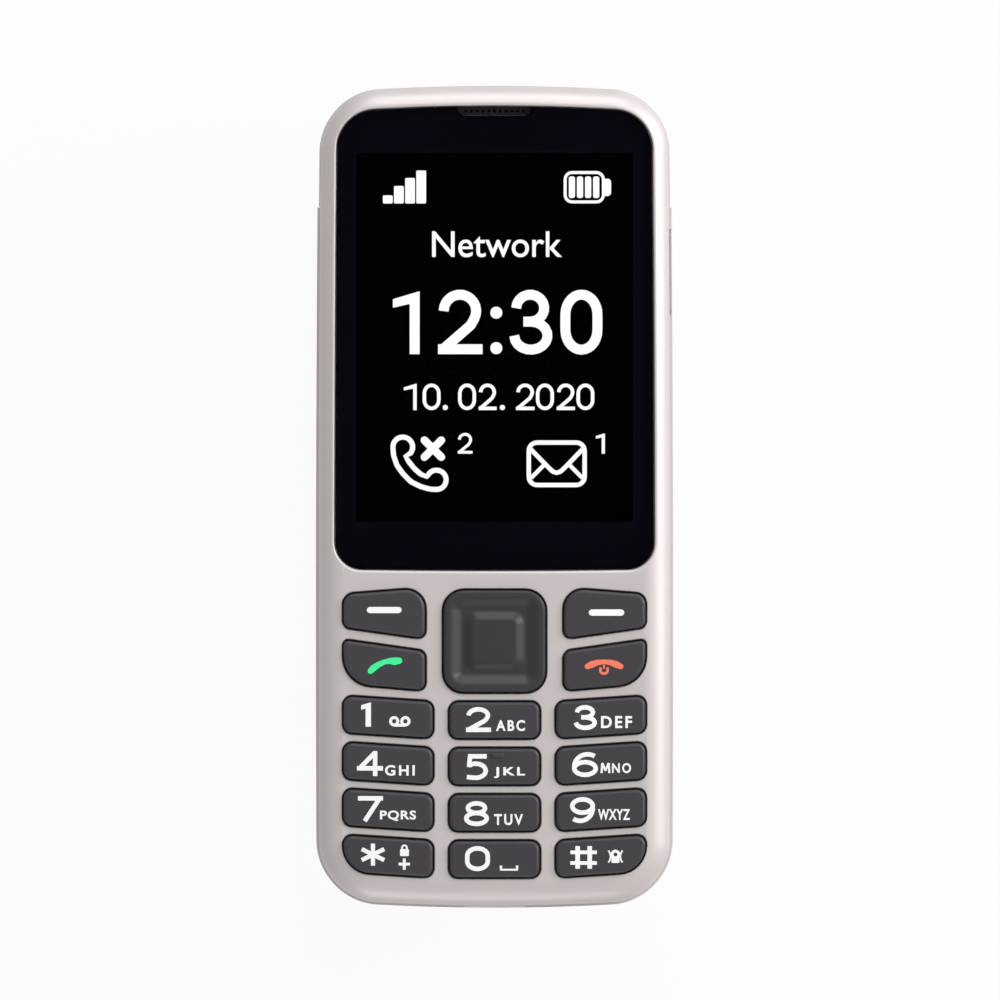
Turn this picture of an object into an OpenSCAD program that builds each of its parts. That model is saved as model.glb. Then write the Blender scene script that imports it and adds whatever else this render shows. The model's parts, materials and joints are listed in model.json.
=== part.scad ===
// Feature phone with a keypad, a display behind a glass lens and a lift-off battery cover.
// It lies on its back. X runs across it, Y towards the earpiece and Z out of the screen.

/* [Body] */
// Housing beside the lens, on each side
lens_rim = 3.1; // [2.6:0.1:6]
// Housing above the lens
top_margin = 3.6; // [3:0.1:8]
// Housing below the lowest row of keys
bottom_margin = 4.68; // [4.4:0.1:9]
// Corner radius seen from the front
corner_r = 9.4; // [7:0.2:12]
// Radius of the slightly bowed top and bottom ends
end_crown_r = 340; // [200:10:900]
// Radius of the slightly bowed sides
side_crown_r = 9000; // [4000:500:20000]
// Distance below the middle at which the sides are widest
belly_drop = 20; // [0:1:30]
// Wall of the housings and the battery cover
wall = 1.2; // [1:0.05:1.5]
// Thickness of the front face over the keypad
face_t = 1.6; // [1.4:0.05:1.8]
// Width of the rounding along the front edge
front_roll_w = 4.2; // [2:0.1:5]
// Height of the rounding along the front edge
front_roll_h = 3; // [1.5:0.1:4]
// Width of the rounding along the back edge
back_roll_w = 5; // [3:0.1:6]
// Height of the rounding along the back edge
back_roll_h = 4.5; // [2.5:0.1:5]
// Step from the battery cover in to the front housing
front_inset = 0.45; // [0.2:0.05:0.8]
// Step from the battery cover in to the fixed rear cap
cap_inset = 0.25; // [0.1:0.05:0.5]
// Length of the fixed rear cap at the earpiece end
cap_l = 19.2; // [18.6:0.1:24]
// Gap along the seams between the shells
seam = 0.2; // [0.1:0.05:0.3]

/* [Display] */
// Black border of the lens beside the lit area
lens_side = 3.3; // [3:0.1:6]
// Black border of the lens below the lit area
lens_foot = 7.6; // [7:0.1:12]
// Radius of the lens's upper corners
lens_top_r = 5.6; // [3:0.1:7]
// Radius of the lens's lower corners
lens_bottom_r = 4.1; // [3:0.1:7]
// Thickness of the lens
lens_t = 1; // [0.7:0.05:1.5]
// Bevel along the lens's front edge
lens_bevel = 0.2; // [0.1:0.05:0.35]
// Depth of the lens below the front face
lens_recess = 0.3; // [0.1:0.05:0.5]
// Gap between the lens and the housing
lens_gap = 0.1; // [0.05:0.01:0.2]
// Adhesive under the lens
adhesive_t = 0.15; // [0.1:0.01:0.3]
// Thickness of the housing's ledge under the lens
ledge_t = 0.65; // [0.5:0.05:1]
// Width of the lit area
active_w = 43.2; // [40:0.1:50]
// Length of the lit area
active_l = 57.6; // [50:0.1:66]
// Black border of the lens above the lit area
active_drop = 7.3; // [7:0.1:8]
// Margin of the housing's window round the lit area
window_margin = 0.8; // [0.4:0.1:1]
// Border of the display module beside and above the lit area
lcd_border = 1.4; // [1.2:0.05:1.6]
// Border of the display module below the lit area
lcd_chin = 5.5; // [3:0.1:5.8]
// Thickness of the display module
lcd_t = 2; // [1.4:0.1:3]
// Foam gasket between the display module and the ledge
gasket_t = 0.5; // [0.3:0.05:0.8]
// Wall and floor of the display's tray
tray_t = 0.35; // [0.25:0.05:0.45]
// Width of the earpiece slot at the lens's edge
slot_w = 12.6; // [8:0.1:16]
// Width of the earpiece slot at its foot
slot_foot_w = 10.6; // [6:0.1:12]
// Height of the earpiece slot
slot_h = 1.5; // [1:0.1:1.8]

/* [Keypad] */
// Housing between the lens and the navigation key
nav_drop = 2.9; // [2.6:0.1:6]
// Width and height of the navigation key's opening
nav_size = 16.4; // [15:0.1:20]
// Corner radius of the navigation key's opening
nav_r = 3.4; // [2:0.1:5]
// Housing between the navigation key and the keys beside it
nav_side = 2.42; // [2:0.02:3]
// Housing between the side keys and the edge of the body
key_margin = 4.17; // [4:0.01:6]
// Rise of the soft keys' inner end above the navigation key
soft_rise = 0.36; // [0:0.02:0.6]
// Fall of the soft keys' upper edge towards the side
soft_fall = 1.02; // [0:0.02:2]
// Distance of the web between soft and call keys below the navigation key's middle
web_drop = 0.62; // [0:0.02:1.2]
// Rise of that web towards the side
web_rise = 1.87; // [0:0.02:2.5]
// Width of that web
web_w = 1.54; // [1.2:0.02:2]
// Rise of the call keys' lower edge above the navigation key's foot
call_rise = 0.27; // [0:0.01:0.6]
// Further rise of that edge towards the side
call_tilt = 1.13; // [0:0.01:1.6]
// Housing between the navigation key and the number keys
number_drop = 1.05; // [0.9:0.05:2]
// Height of a number key's opening
number_h = 6.15; // [5.5:0.05:8]
// Housing between two rows of number keys
row_gap = 1.09; // [0.9:0.01:2]
// Width of the middle column's openings
middle_w = 14.54; // [12:0.02:17]
// Housing between two columns of keys
column_gap = 2.13; // [1.4:0.01:2.6]
// Rise of the outer columns per millimetre towards the side
side_slope = 0.065; // [0:0.005:0.1]
// Corner radius of the number keys' openings
number_r = 1.6; // [0.8:0.1:2]
// Radius of the lowest row's outer corners
foot_r = 4.5; // [1.6:0.1:5]
// Radius of the soft keys' upper inner corners
soft_r = 3.3; // [1.4:0.1:4]
// Radius of the corners along the web between soft and call keys
web_r = 1.4; // [0.8:0.1:2]
// Radius of the soft keys' upper outer corners
shoulder_r = 1.9; // [0.8:0.1:2.5]
// Radius of the call keys' lower outer corners
call_r = 4.8; // [1.4:0.1:5]
// Gap round each key
key_gap = 0.27; // [0.2:0.01:0.35]
// Height of the keys above the front face
key_rise = 0.7; // [0.6:0.05:1.2]
// Rounding along the top edge of the keys
key_edge = 0.45; // [0.2:0.05:0.6]
// Travel of the keys
key_travel = 0.5; // [0.3:0.05:0.6]
// Flange that holds a key under the front face, beyond its opening
flange_lip = 0.3; // [0.2:0.01:0.35]
// Thickness of that flange
flange_t = 0.6; // [0.4:0.05:0.8]
// Diameter of the plunger under each key
stem_d = 2.4; // [1.8:0.1:3]
// Tilt of the navigation key to each side, in degrees
nav_tilt = 2; // [1:0.1:2.2]
// Rubber web under the keys
mat_t = 0.8; // [0.5:0.05:1]
// Diameter of the snap domes
dome_d = 4; // [3:0.1:4.4]
// Height of the snap domes
dome_h = 0.3; // [0.2:0.02:0.35]
// Thickness of the film that holds the snap domes
film_t = 0.1; // [0.05:0.01:0.15]

/* [Inside] */
// Thickness of the circuit board
board_t = 1; // [0.8:0.1:1.6]
// Height of the parts on the back of the board
component_h = 1.6; // [1.4:0.05:2.4]
// Height of the display module above the board
lcd_lift = 0.45; // [0.4:0.05:1]
// Thickness of the chassis plate behind the board
plate_t = 1; // [0.8:0.05:1.6]
// Width of the battery
battery_w = 44; // [34:0.5:47]
// Thickness of the battery
battery_t = 4.8; // [4.6:0.1:8]
// Play between the battery and its bay
battery_play = 0.2; // [0.1:0.05:0.3]
// Wall of the battery's bay
rib_t = 1; // [0.8:0.1:1.2]
// Radius of the screw bosses
boss_r = 1.6; // [1.5:0.05:1.7]
// Distance of the upper screws from the body's side
screw_inset = 4.7; // [4.6:0.1:6]
// Distance of the lower screws from the body's side
foot_screw_inset = 11; // [10:0.1:14]
// Shank diameter of the screws
screw_d = 1.6; // [1.4:0.05:1.8]
// Head diameter of the screws
screw_head_d = 3.2; // [2.8:0.1:3.4]
// Head height of the screws
screw_head_h = 1; // [0.8:0.1:1.4]
// Length of the screws' shank
screw_l = 4; // [3:0.1:4.2]
// Width of a card socket
card_w = 13.2; // [12.8:0.1:14]
// Length of a card socket
card_l = 14.6; // [12:0.1:16]
// Width of the loudspeaker
speaker_w = 18; // [12:0.5:20]
// Length of the loudspeaker
speaker_l = 11; // [9:0.5:13]
// Diameter of the vibration motor
motor_d = 8; // [6:0.5:8.5]
// Height of the vibration motor
motor_h = 2.7; // [2:0.1:3.4]
// Width of the rear camera module
camera_w = 8.5; // [6.5:0.1:9]
// Diameter of the camera's barrel
barrel_d = 6.12; // [4:0.1:6.4]
// How far the camera's block reaches below the chassis plate
camera_drop = 2; // [1:0.1:2.4]
// Diameter of the camera's window
window_d = 9.2; // [8:0.1:10]
// Distance of the camera from the body's side
camera_inset = 16; // [13:0.1:17]
// Diameter of the flash lens
flash_d = 3.6; // [3:0.1:4.2]

/* [Connectors] */
// Width of the charging socket's shell
usb_w = 8.94; // [8.9:0.02:9]
// Height of the charging socket's shell
usb_h = 3.26; // [3.2:0.02:3.3]
// Depth of the charging socket's shell
usb_l = 7.35; // [6.5:0.05:8]
// Sheet of the charging socket's shell
usb_t = 0.3; // [0.2:0.02:0.35]
// Bore of the headset socket
jack_d = 3.6; // [3.55:0.01:3.7]
// Depth of the headset socket's bore
jack_l = 14; // [13.5:0.1:15]
// Diameter of the headset socket's nose
jack_nose_d = 4.8; // [4.6:0.1:5]
// Distance of the headset socket from the body's side
jack_inset = 14; // [12:0.1:15]
// Length of the volume key
volume_l = 13; // [11:0.1:15]
// Height of the volume key
volume_h = 2.8; // [2.2:0.1:3]
// Distance of the volume key's middle from the cap
volume_drop = 10.3; // [9:0.1:14]
// Tilt of the volume key to each side, in degrees
volume_tilt = 2; // [1:0.1:2]

/* [Hidden] */
$fn = 48;
CUT = 0.5;
SLICE = 0.01;
TOUCH = 0.05;
ROLL_STEPS = 4;
END_STEPS = 3;
CORNER_STEPS = 6;
SIDE_STEPS = 2;
KEY_STEPS = 4;
SHELL_FIT = 0.2;
LOOSE_FIT = 0.3;
PIVOT_GAP = 0.1;
MIN_R = 0.15;
ROW_COUNT = 4;

// Widths and lengths across the front
lens_w = active_w + 2 * lens_side;
lens_l = active_drop + active_l + lens_foot;
body_w = lens_w + 2 * lens_rim;
screw_x = body_w / 2 - screw_inset;
foot_screw_x = body_w / 2 - foot_screw_inset;
camera_x = body_w / 2 - camera_inset;
jack_x = body_w / 2 - jack_inset;
keypad_l = nav_size + number_drop + ROW_COUNT * number_h + (ROW_COUNT - 1) * row_gap;
body_l = top_margin + lens_l + nav_drop + keypad_l + bottom_margin;
top_y = body_l / 2;
foot_y = -body_l / 2;
lens_top = top_y - top_margin;
lens_bottom = lens_top - lens_l;
active_top = lens_top - active_drop;
active_bottom = active_top - active_l;
active_y = (active_top + active_bottom) / 2;
nav_top = lens_bottom - nav_drop;
nav_y = nav_top - nav_size / 2;
nav_foot = nav_top - nav_size;
key_half = body_w / 2 - key_margin;
beside_nav = nav_size / 2 + nav_side;
beside_middle = middle_w / 2 + column_gap;
split_y = top_y - cap_l;

// Levels through the thickness, from the back
battery_z = wall + battery_play;
battery_top = battery_z + battery_t;
plate_z = battery_top + battery_play;
plate_top = plate_z + plate_t;
camera_foot = plate_z - camera_drop;
board_z = plate_top + component_h;
board_top = board_z + board_t;
lcd_z = board_top + lcd_lift;
lcd_top = lcd_z + lcd_t;
ledge_z = lcd_top + gasket_t;
ledge_top = ledge_z + ledge_t;
lens_z = ledge_top + adhesive_t;
lens_face = lens_z + lens_t;
face_z = lens_face + lens_recess;
face_under = face_z - face_t;
parting_z = board_z - 2 * SHELL_FIT;
cover_top = parting_z - seam;
cap_top = parting_z - seam / 2;

// Levels of the keys
flange_top = face_under - SHELL_FIT;
flange_z = flange_top - flange_t;
key_top = face_z + key_rise;
dome_top = board_top + dome_h;
stem_end = dome_top + key_travel + PIVOT_GAP;
mat_top = flange_z - key_travel - PIVOT_GAP;
mat_z = mat_top - mat_t;
film_top = board_top + film_t;

// The navigation key rocks both ways, so its flange hangs lower than the others
nav_reach = nav_size / 2 + flange_lip;
nav_swing = 1.8 * nav_reach * sin(nav_tilt);
nav_flange_top = face_under - nav_swing - PIVOT_GAP;
nav_flange_z = nav_flange_top - flange_t;
rocker_t = 0.4;
rocker_top = nav_flange_z - nav_swing;
rocker_z = rocker_top - rocker_t;
arm_margin = 2.7;
rocker_arm = nav_size / 2 - arm_margin;
plunger_t = 0.4;
plunger_r = 1.6;
nav_rim_w = 1.4;
nav_pad_foot = 9.2;
nav_pad_top = 6.1;
nav_dish = 0.75;
nav_pad_drop = 0.15;

// Corner radii drawn in with the outline they belong to
BODY = [body_w, top_y, foot_y, corner_r, corner_r, end_crown_r, end_crown_r];
LENS = [lens_w, lens_top, lens_bottom, lens_top_r, lens_bottom_r, end_crown_r, 4 * end_crown_r];

// Screws, each as its place and its boss's upper end
upper_screw_y = lens_bottom - 0.55 * boss_r;
boss_margin = 0.45;
foot_screw_y = foot_y + front_inset + wall + boss_r + boss_margin;
foot_boss_top = flange_z - key_travel - SHELL_FIT;
SCREWS = [for (s = [-1, 1]) each [
    [s * screw_x, upper_screw_y, ledge_z + CUT],
    [s * foot_screw_x, foot_screw_y, foot_boss_top]
]];

// Battery bay, between the cap and the upper screws
contact_l = 2.2;
contact_w = 12;
battery_head = split_y - contact_l - 4 * battery_play;
battery_foot = upper_screw_y + screw_head_d / 2 + LOOSE_FIT + rib_t + battery_play;
battery_l = battery_head - battery_foot;
battery_y = (battery_head + battery_foot) / 2;

// Card sockets below the upper screws, and the loudspeaker above the charging socket
card_gap = 0.4;
card_pitch = card_w + card_gap;
card_y = upper_screw_y - screw_head_d / 2 - LOOSE_FIT - card_l / 2;
usb_face = foot_y + wall / 2;
usb_back = usb_face + usb_l;
usb_z = board_z - TOUCH - usb_h / 2;
speaker_gap = 1.5;
speaker_seat = 0.5;
speaker_y = usb_back + speaker_gap + speaker_l / 2;
speaker_z = wall + speaker_seat;

// Parts behind the rear cap
cap_wall_y = split_y + seam / 2;
camera_rise = 8.7;
flash_gap = 4.75;
motor_gap = 1.2;
motor_rise = 6.2;
camera_y = split_y + camera_rise;
flash_x = camera_x - camera_w / 2 - flash_gap;
motor_x = jack_x - jack_nose_d / 2 - motor_gap - motor_d / 2;
motor_y = split_y + motor_rise;
jack_z = cover_top - jack_nose_d / 2 - LOOSE_FIT;

// Volume key in the right wall
volume_y = split_y - volume_drop;
volume_sill = 0.35;
volume_lip = 0.7;
volume_z = cover_top - volume_sill - volume_h / 2;
volume_swing = (volume_l / 2 + volume_lip) * sin(volume_tilt);

// Keys: name, form, row and side
KEYS = [
    ["soft_key_left", "soft", 0, -1], ["soft_key_right", "soft", 0, 1],
    ["call_key", "call", 0, -1], ["end_key", "call", 0, 1],
    ["key_1", "side", 0, -1], ["key_2", "middle", 0, 0], ["key_3", "side", 0, 1],
    ["key_4", "side", 1, -1], ["key_5", "middle", 1, 0], ["key_6", "side", 1, 1],
    ["key_7", "side", 2, -1], ["key_8", "middle", 2, 0], ["key_9", "side", 2, 1],
    ["key_star", "side", 3, -1], ["key_0", "middle", 3, 0], ["key_hash", "side", 3, 1]
];

// Plane geometry

function unit(v) = v / norm(v);

function left_of(v) = [-v[1], v[0]];

function angle(v) = atan2(v[1], v[0]);

// Points along an arc, without its last one unless all is true
function arc(centre, r, from, to, steps, all = false) =
    [for (i = [0 : all ? steps : steps - 1])
        let (a = from + (to - from) * i / steps) centre + r * [cos(a), sin(a)]];

// Centre of a corner arc, from the circles on which it lies round a side's and an end's centre
function corner_centre(side_c, side_r, end_c, end_r, up) =
    let (
        gap = end_c - side_c,
        along = (side_r ^ 2 - end_r ^ 2 + gap * gap) / (2 * norm(gap)),
        across = sqrt(side_r ^ 2 - along ^ 2)
    )
    side_c + along * unit(gap) + up * across * left_of(unit(gap));

// Right half of an outline with bowed sides and ends, from its lowest to its highest point
function half_outline(form, inset) =
    let (
        side_c = [form[0] / 2 - side_crown_r, -belly_drop],
        side_r = side_crown_r - inset,
        top_c = [0, form[1] - form[5]],
        top_r = form[5] - inset,
        low_c = [0, form[2] + form[6]],
        low_r = form[6] - inset,
        hi_r = max(form[3] - inset, MIN_R),
        lo_r = max(form[4] - inset, MIN_R),
        hi = corner_centre(side_c, side_r - hi_r, top_c, top_r - hi_r, 1),
        lo = corner_centre(side_c, side_r - lo_r, low_c, low_r - lo_r, -1)
    )
    concat(
        arc(low_c, low_r, -90, angle(lo - low_c), END_STEPS),
        arc(lo, lo_r, angle(lo - low_c), angle(lo - side_c), CORNER_STEPS),
        arc(side_c, side_r, angle(lo - side_c), angle(hi - side_c), SIDE_STEPS),
        arc(hi, hi_r, angle(hi - side_c), angle(hi - top_c), CORNER_STEPS),
        arc(top_c, top_r, angle(hi - top_c), 90, END_STEPS, true)
    );

function outline(form, inset = 0) =
    let (half = half_outline(form, inset), last = len(half) - 1)
    concat(half, [for (i = [last - 1 : -1 : 1]) [-half[i][0], half[i][1]]]);

// Half width of the body at a height, drawn in by inset
function side_x(y, inset) =
    body_w / 2 - side_crown_r + sqrt((side_crown_r - inset) ^ 2 - (y + belly_drop) ^ 2);

// A convex outline with rounded corners, drawn in by inset or out where that is negative
function rounded(corners, radii, inset = 0) =
    let (n = len(corners))
    [for (i = [0 : n - 1])
        let (
            before = left_of(unit(corners[i] - corners[(i + n - 1) % n])),
            after = left_of(unit(corners[(i + 1) % n] - corners[i])),
            r = max(radii[i] - inset, MIN_R),
            centre = corners[i] + (before + after) * (inset + r) / (1 + before * after),
            start = angle(-before)
        )
        each arc(centre, r, start, start + acos(before * after), KEY_STEPS, true)];

function box_corners(w, h) = [[-w, -h], [w, -h], [w, h], [-w, h]] / 2;

function box_outline(w, h, r, inset = 0) = rounded(box_corners(w, h), [r, r, r, r], inset);

// Corners of a key's opening on the left or in the middle, counter-clockwise from the lower left

function row_y(row) = nav_foot - number_drop - number_h / 2 - row * (number_h + row_gap);

function web_y(x_share) = nav_y - web_drop + web_rise * x_share;

function soft_corners() = [
    [-key_half, web_y(1) + web_w / 2],
    [-beside_nav, web_y(0) + web_w / 2],
    [-beside_nav, nav_top + soft_rise],
    [-key_half, nav_top + soft_rise - soft_fall]
];

function call_corners() = [
    [-key_half, nav_foot + call_rise + call_tilt],
    [-beside_nav, nav_foot + call_rise],
    [-beside_nav, web_y(0) - web_w / 2],
    [-key_half, web_y(1) - web_w / 2]
];

function side_corners(row) =
    let (rise = side_slope * (key_half - beside_middle), low = row_y(row) - number_h / 2)
    [
        [-key_half, low + rise], [-beside_middle, low],
        [-beside_middle, low + number_h], [-key_half, low + rise + number_h]
    ];

function middle_corners(row) = [for (p = box_corners(middle_w, number_h)) p + [0, row_y(row)]];

function key_corners(key) =
    key[1] == "soft" ? soft_corners()
    : key[1] == "call" ? call_corners()
    : key[1] == "side" ? side_corners(key[2])
    : middle_corners(key[2]);

function key_radii(key) =
    key[1] == "soft" ? [web_r, web_r, soft_r, shoulder_r]
    : key[1] == "call" ? [call_r, web_r, web_r, 0.7 * web_r]
    : [key[1] == "side" && key[2] == ROW_COUNT - 1 ? foot_r : number_r, number_r, number_r, number_r];

function key_outline(key, inset) = rounded(key_corners(key), key_radii(key), inset);

function middle_of(points) = [for (p = points) 1] * points / len(points);

// Places of the snap domes under the keys, and under the navigation key's arms and middle
DOMES = concat(
    [for (key = KEYS) let (c = middle_of(key_corners(key))) key[3] > 0 ? [-c[0], c[1]] : c],
    [[0, nav_y]],
    [for (a = [0 : 90 : 270]) [0, nav_y] + rocker_arm * [cos(a), sin(a)]]
);

// Shared solids

module slab(points, z0, z1) {
    translate([0, 0, z0])
        linear_extrude(z1 - z0)
            polygon(points);
}

module block(w, l, y, z0, z1, x = 0) {
    translate([x - w / 2, y - l / 2, z0])
        cube([w, l, z1 - z0]);
}

module rod(r, z0, z1, at = [0, 0]) {
    translate([at[0], at[1], z0])
        cylinder(r = r, h = z1 - z0);
}

// Mirrors what is drawn for the left side where the side is the right one
module on_side(side) {
    mirror([side > 0 ? 1 : 0, 0, 0])
        children();
}

// Keeps what lies below or above a height along the phone
module below(y) {
    intersection() {
        children();
        block(2 * body_w, body_l, y - body_l / 2, -CUT, key_top + CUT);
    }
}

module above(y) {
    intersection() {
        children();
        block(2 * body_w, body_l, y + body_l / 2, -CUT, key_top + CUT);
    }
}

// A solid through rings of points, each with its height, from the lowest ring to the highest
module loft(rings) {
    n = len(rings[0][0]);
    last = len(rings) - 1;
    polyhedron(
        points = [for (ring = rings, p = ring[0]) [p[0], p[1], ring[1]]],
        faces = concat(
            [[for (i = [0 : n - 1]) i]],
            [[for (i = [n - 1 : -1 : 0]) last * n + i]],
            [for (k = [0 : last - 1], i = [0 : n - 1])
                let (low = k * n, high = low + n, j = (i + 1) % n)
                each [[low + i, high + i, high + j], [low + i, high + j, low + j]]]
        )
    );
}

// The body's outline rising from z_open, and drawn in along a rounded edge to z_flat
module rolled_block(inset, z_open, z_flat, roll_w, roll_h) {
    dir = sign(z_flat - z_open);
    rings = concat(
        [[outline(BODY, inset), z_open]],
        [for (i = [0 : ROLL_STEPS])
            let (a = 90 * i / ROLL_STEPS)
            [outline(BODY, inset + roll_w * (1 - cos(a))), z_flat - dir * roll_h * (1 - sin(a))]]
    );
    loft(dir > 0 ? rings : [for (i = [len(rings) - 1 : -1 : 0]) rings[i]]);
}

// A band between two insets of the body's outline
module band(inset, t, z0, z1) {
    difference() {
        slab(outline(BODY, inset), z0, z1);
        slab(outline(BODY, inset + t), z0 - CUT, z1 + CUT);
    }
}

// A flat bar with round ends, its length across X
module bar(w, h, l) {
    rotate([-90, 0, 0])
        linear_extrude(l) {
            square([w - h, h], center = true);
            for (s = [-1, 1])
                translate([s * (w - h) / 2, 0])
                    circle(d = h);
        }
}

// Front shell and display

module screw_bosses() {
    for (screw = SCREWS)
        rod(boss_r, plate_top + TOUCH, screw[2], screw);
    for (s = [-1, 1])
        block(boss_r, boss_r + wall, foot_screw_y - (boss_r + wall) / 2,
              parting_z + CUT, foot_boss_top, s * foot_screw_x);
}

module window_cut(margin, z0, z1) {
    block(active_w + 2 * margin, active_l + 2 * margin, active_y, z0, z1);
}

// Way for the sound through the ledge under the earpiece slot
port_w = slot_foot_w - 1;
port_h = slot_h - 0.4;
port_y = lens_top - slot_h / 2;

function earpiece_outline(inset) =
    let (foot = slot_foot_w / 2, head = slot_w / 2, low = lens_top - slot_h, high = lens_top + CUT)
    rounded(
        [[-foot, low], [foot, low], [head, high], [-head, high]],
        [for (i = [1 : 4]) 2 * MIN_R], inset
    );

module front_housing() {
    color("#cdc5c2")
        difference() {
            union() {
                difference() {
                    rolled_block(front_inset, parting_z, face_z, front_roll_w, front_roll_h);
                    slab(outline(BODY, front_inset + wall), parting_z - CUT, ledge_z);
                    below(nav_top + soft_rise + 2 * flange_lip)
                        slab(outline(BODY, front_inset + wall + CUT), ledge_z - CUT, face_under);
                }
                screw_bosses();
            }
            slab(outline(LENS, -lens_gap), ledge_top, face_z + CUT);
            window_cut(window_margin, ledge_z - CUT, ledge_top + CUT);
            block(port_w, port_h, port_y, ledge_z - CUT, ledge_top + CUT);
            for (key = KEYS)
                on_side(key[3])
                    slab(key_outline(key, 0), face_under - CUT, face_z + CUT);
            translate([0, nav_y, 0])
                slab(nav_outline(), face_under - CUT, face_z + CUT);
            for (screw = SCREWS)
                rod(screw_d / 2, plate_top, plate_z + screw_l + CUT, screw);
            microphone_port();
            usb_cut(parting_z - CUT, usb_z + usb_h / 2 + LOOSE_FIT);
        }
}

// Opening in the lower end wall for the charging plug
module usb_cut(z0, z1) {
    block(usb_w + 2 * LOOSE_FIT, 6 * wall, foot_y, z0, z1);
}

mic_x = 9;
mic_w = 3;
mic_l = 2.2;
mic_h = 1;
mic_port_d = 0.8;
mic_y = foot_y + front_inset + wall + 2 * LOOSE_FIT + mic_l / 2;

module microphone_port() {
    translate([mic_x, foot_y - CUT, board_top + mic_h / 2 + PIVOT_GAP])
        rotate([-90, 0, 0])
            cylinder(d = mic_port_d, h = front_inset + wall + 2 * CUT);
}

module display_lens() {
    color("#0b0b0f")
        difference() {
            loft([
                [outline(LENS), lens_z], [outline(LENS), lens_face - lens_bevel],
                [outline(LENS, lens_bevel), lens_face]
            ]);
            slab(earpiece_outline(0), lens_z - CUT, lens_face + CUT);
        }
}

module lens_adhesive() {
    color("#202022")
        difference() {
            slab(outline(LENS, 2 * SHELL_FIT), ledge_top, lens_z);
            window_cut(window_margin + PIVOT_GAP, ledge_top - CUT, lens_z + CUT);
            slab(earpiece_outline(-SHELL_FIT), ledge_top - CUT, lens_z + CUT);
        }
}

module display_gasket() {
    color("#2a2a2c")
        difference() {
            window_cut(lcd_border - PIVOT_GAP, lcd_top, ledge_z);
            window_cut(window_margin, lcd_top - CUT, ledge_z + CUT);
        }
}

module lcd_block(grow, z0, z1) {
    h = active_l + lcd_border + lcd_chin;
    block(active_w + 2 * (lcd_border + grow), h + 2 * grow, active_top + lcd_border - h / 2, z0, z1);
}

module display_panel() {
    color("#15151a")
        lcd_block(0, lcd_z, lcd_top);
}

module display_tray() {
    color("#b9bcc0")
        difference() {
            lcd_block(PIVOT_GAP + tray_t, board_top, lcd_z + 0.8 * lcd_t);
            lcd_block(PIVOT_GAP, board_top + tray_t, lcd_top + CUT);
            flex_strip(1, 1);
        }
}

flex_w = 14;
flex_t = 0.2;
flex_plug_l = 1.6;
flex_z = lcd_z + LOOSE_FIT;
lcd_foot = active_bottom - lcd_chin;
flex_end = nav_top + soft_rise + 3 * flange_lip;

module flex_strip(side, up) {
    block(flex_w + 2 * side, lcd_foot - flex_end, (lcd_foot + flex_end) / 2,
          flex_z - up, flex_z + flex_t + up);
}

module display_flex() {
    color("#b5722e") {
        flex_strip(0, 0);
        block(flex_w, flex_plug_l, flex_end + flex_plug_l / 2, board_top, flex_z + flex_t / 2);
    }
}

mesh_gap = 0.12;
mesh_pitch = 0.9;
mesh_hole_d = 0.5;
mesh_half = 5 * mesh_pitch;

module earpiece_mesh() {
    color("#303033")
        difference() {
            translate([0, 0, ledge_top])
                linear_extrude(lens_t / 2)
                    intersection() {
                        polygon(earpiece_outline(mesh_gap));
                        polygon(outline(LENS));
                    }
            for (x = [-mesh_half : mesh_pitch : mesh_half])
                rod(mesh_hole_d / 2, ledge_top - CUT, lens_face, [x, port_y]);
        }
}

earpiece_w = 12;
earpiece_rim = 1.5;
earpiece_overhang = 1.2;
cone_depth = 0.4;
lcd_head = active_top + lcd_border + PIVOT_GAP + tray_t;
earpiece_l = lens_top + earpiece_overhang - lcd_head;
earpiece_top = ledge_z - SHELL_FIT;

module earpiece_speaker() {
    color("#9a9ca0")
        difference() {
            block(earpiece_w, earpiece_l, lcd_head + LOOSE_FIT + earpiece_l / 2, board_top, earpiece_top);
            block(earpiece_w - 2 * earpiece_rim, port_h, port_y, earpiece_top - cone_depth, ledge_z + CUT);
        }
}

// Keypad

module key_solid(key) {
    top = key_top;
    stem = middle_of(key_corners(key));
    loft([
        [key_outline(key, key_gap), flange_top - SLICE],
        [key_outline(key, key_gap), top - key_edge],
        [key_outline(key, key_gap + 0.3 * key_edge), top - 0.3 * key_edge],
        [key_outline(key, key_gap + key_edge), top]
    ]);
    slab(key_outline(key, -flange_lip), flange_z, flange_top);
    rod(stem_d / 2, stem_end, flange_z + SLICE, stem);
}

touch_w = 2;
touch_l = 0.7;
touch_h = 0.35;
touch_r = 0.3;
touch_x = 0.55;
touch_rise = 1.5;

// The middle key has a raised bar to find it by touch
module touch_bar() {
    translate([touch_x, row_y(1) + touch_rise, key_top - SLICE])
        linear_extrude(touch_h)
            polygon(box_outline(touch_w, touch_l, touch_r));
}

module phone_key(key) {
    color("#3e3c41") {
        on_side(key[3])
            key_solid(key);
        if (key[0] == "key_5")
            touch_bar();
    }
}

function nav_outline(inset = 0) = box_outline(nav_size, nav_size, nav_r, inset);

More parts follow.
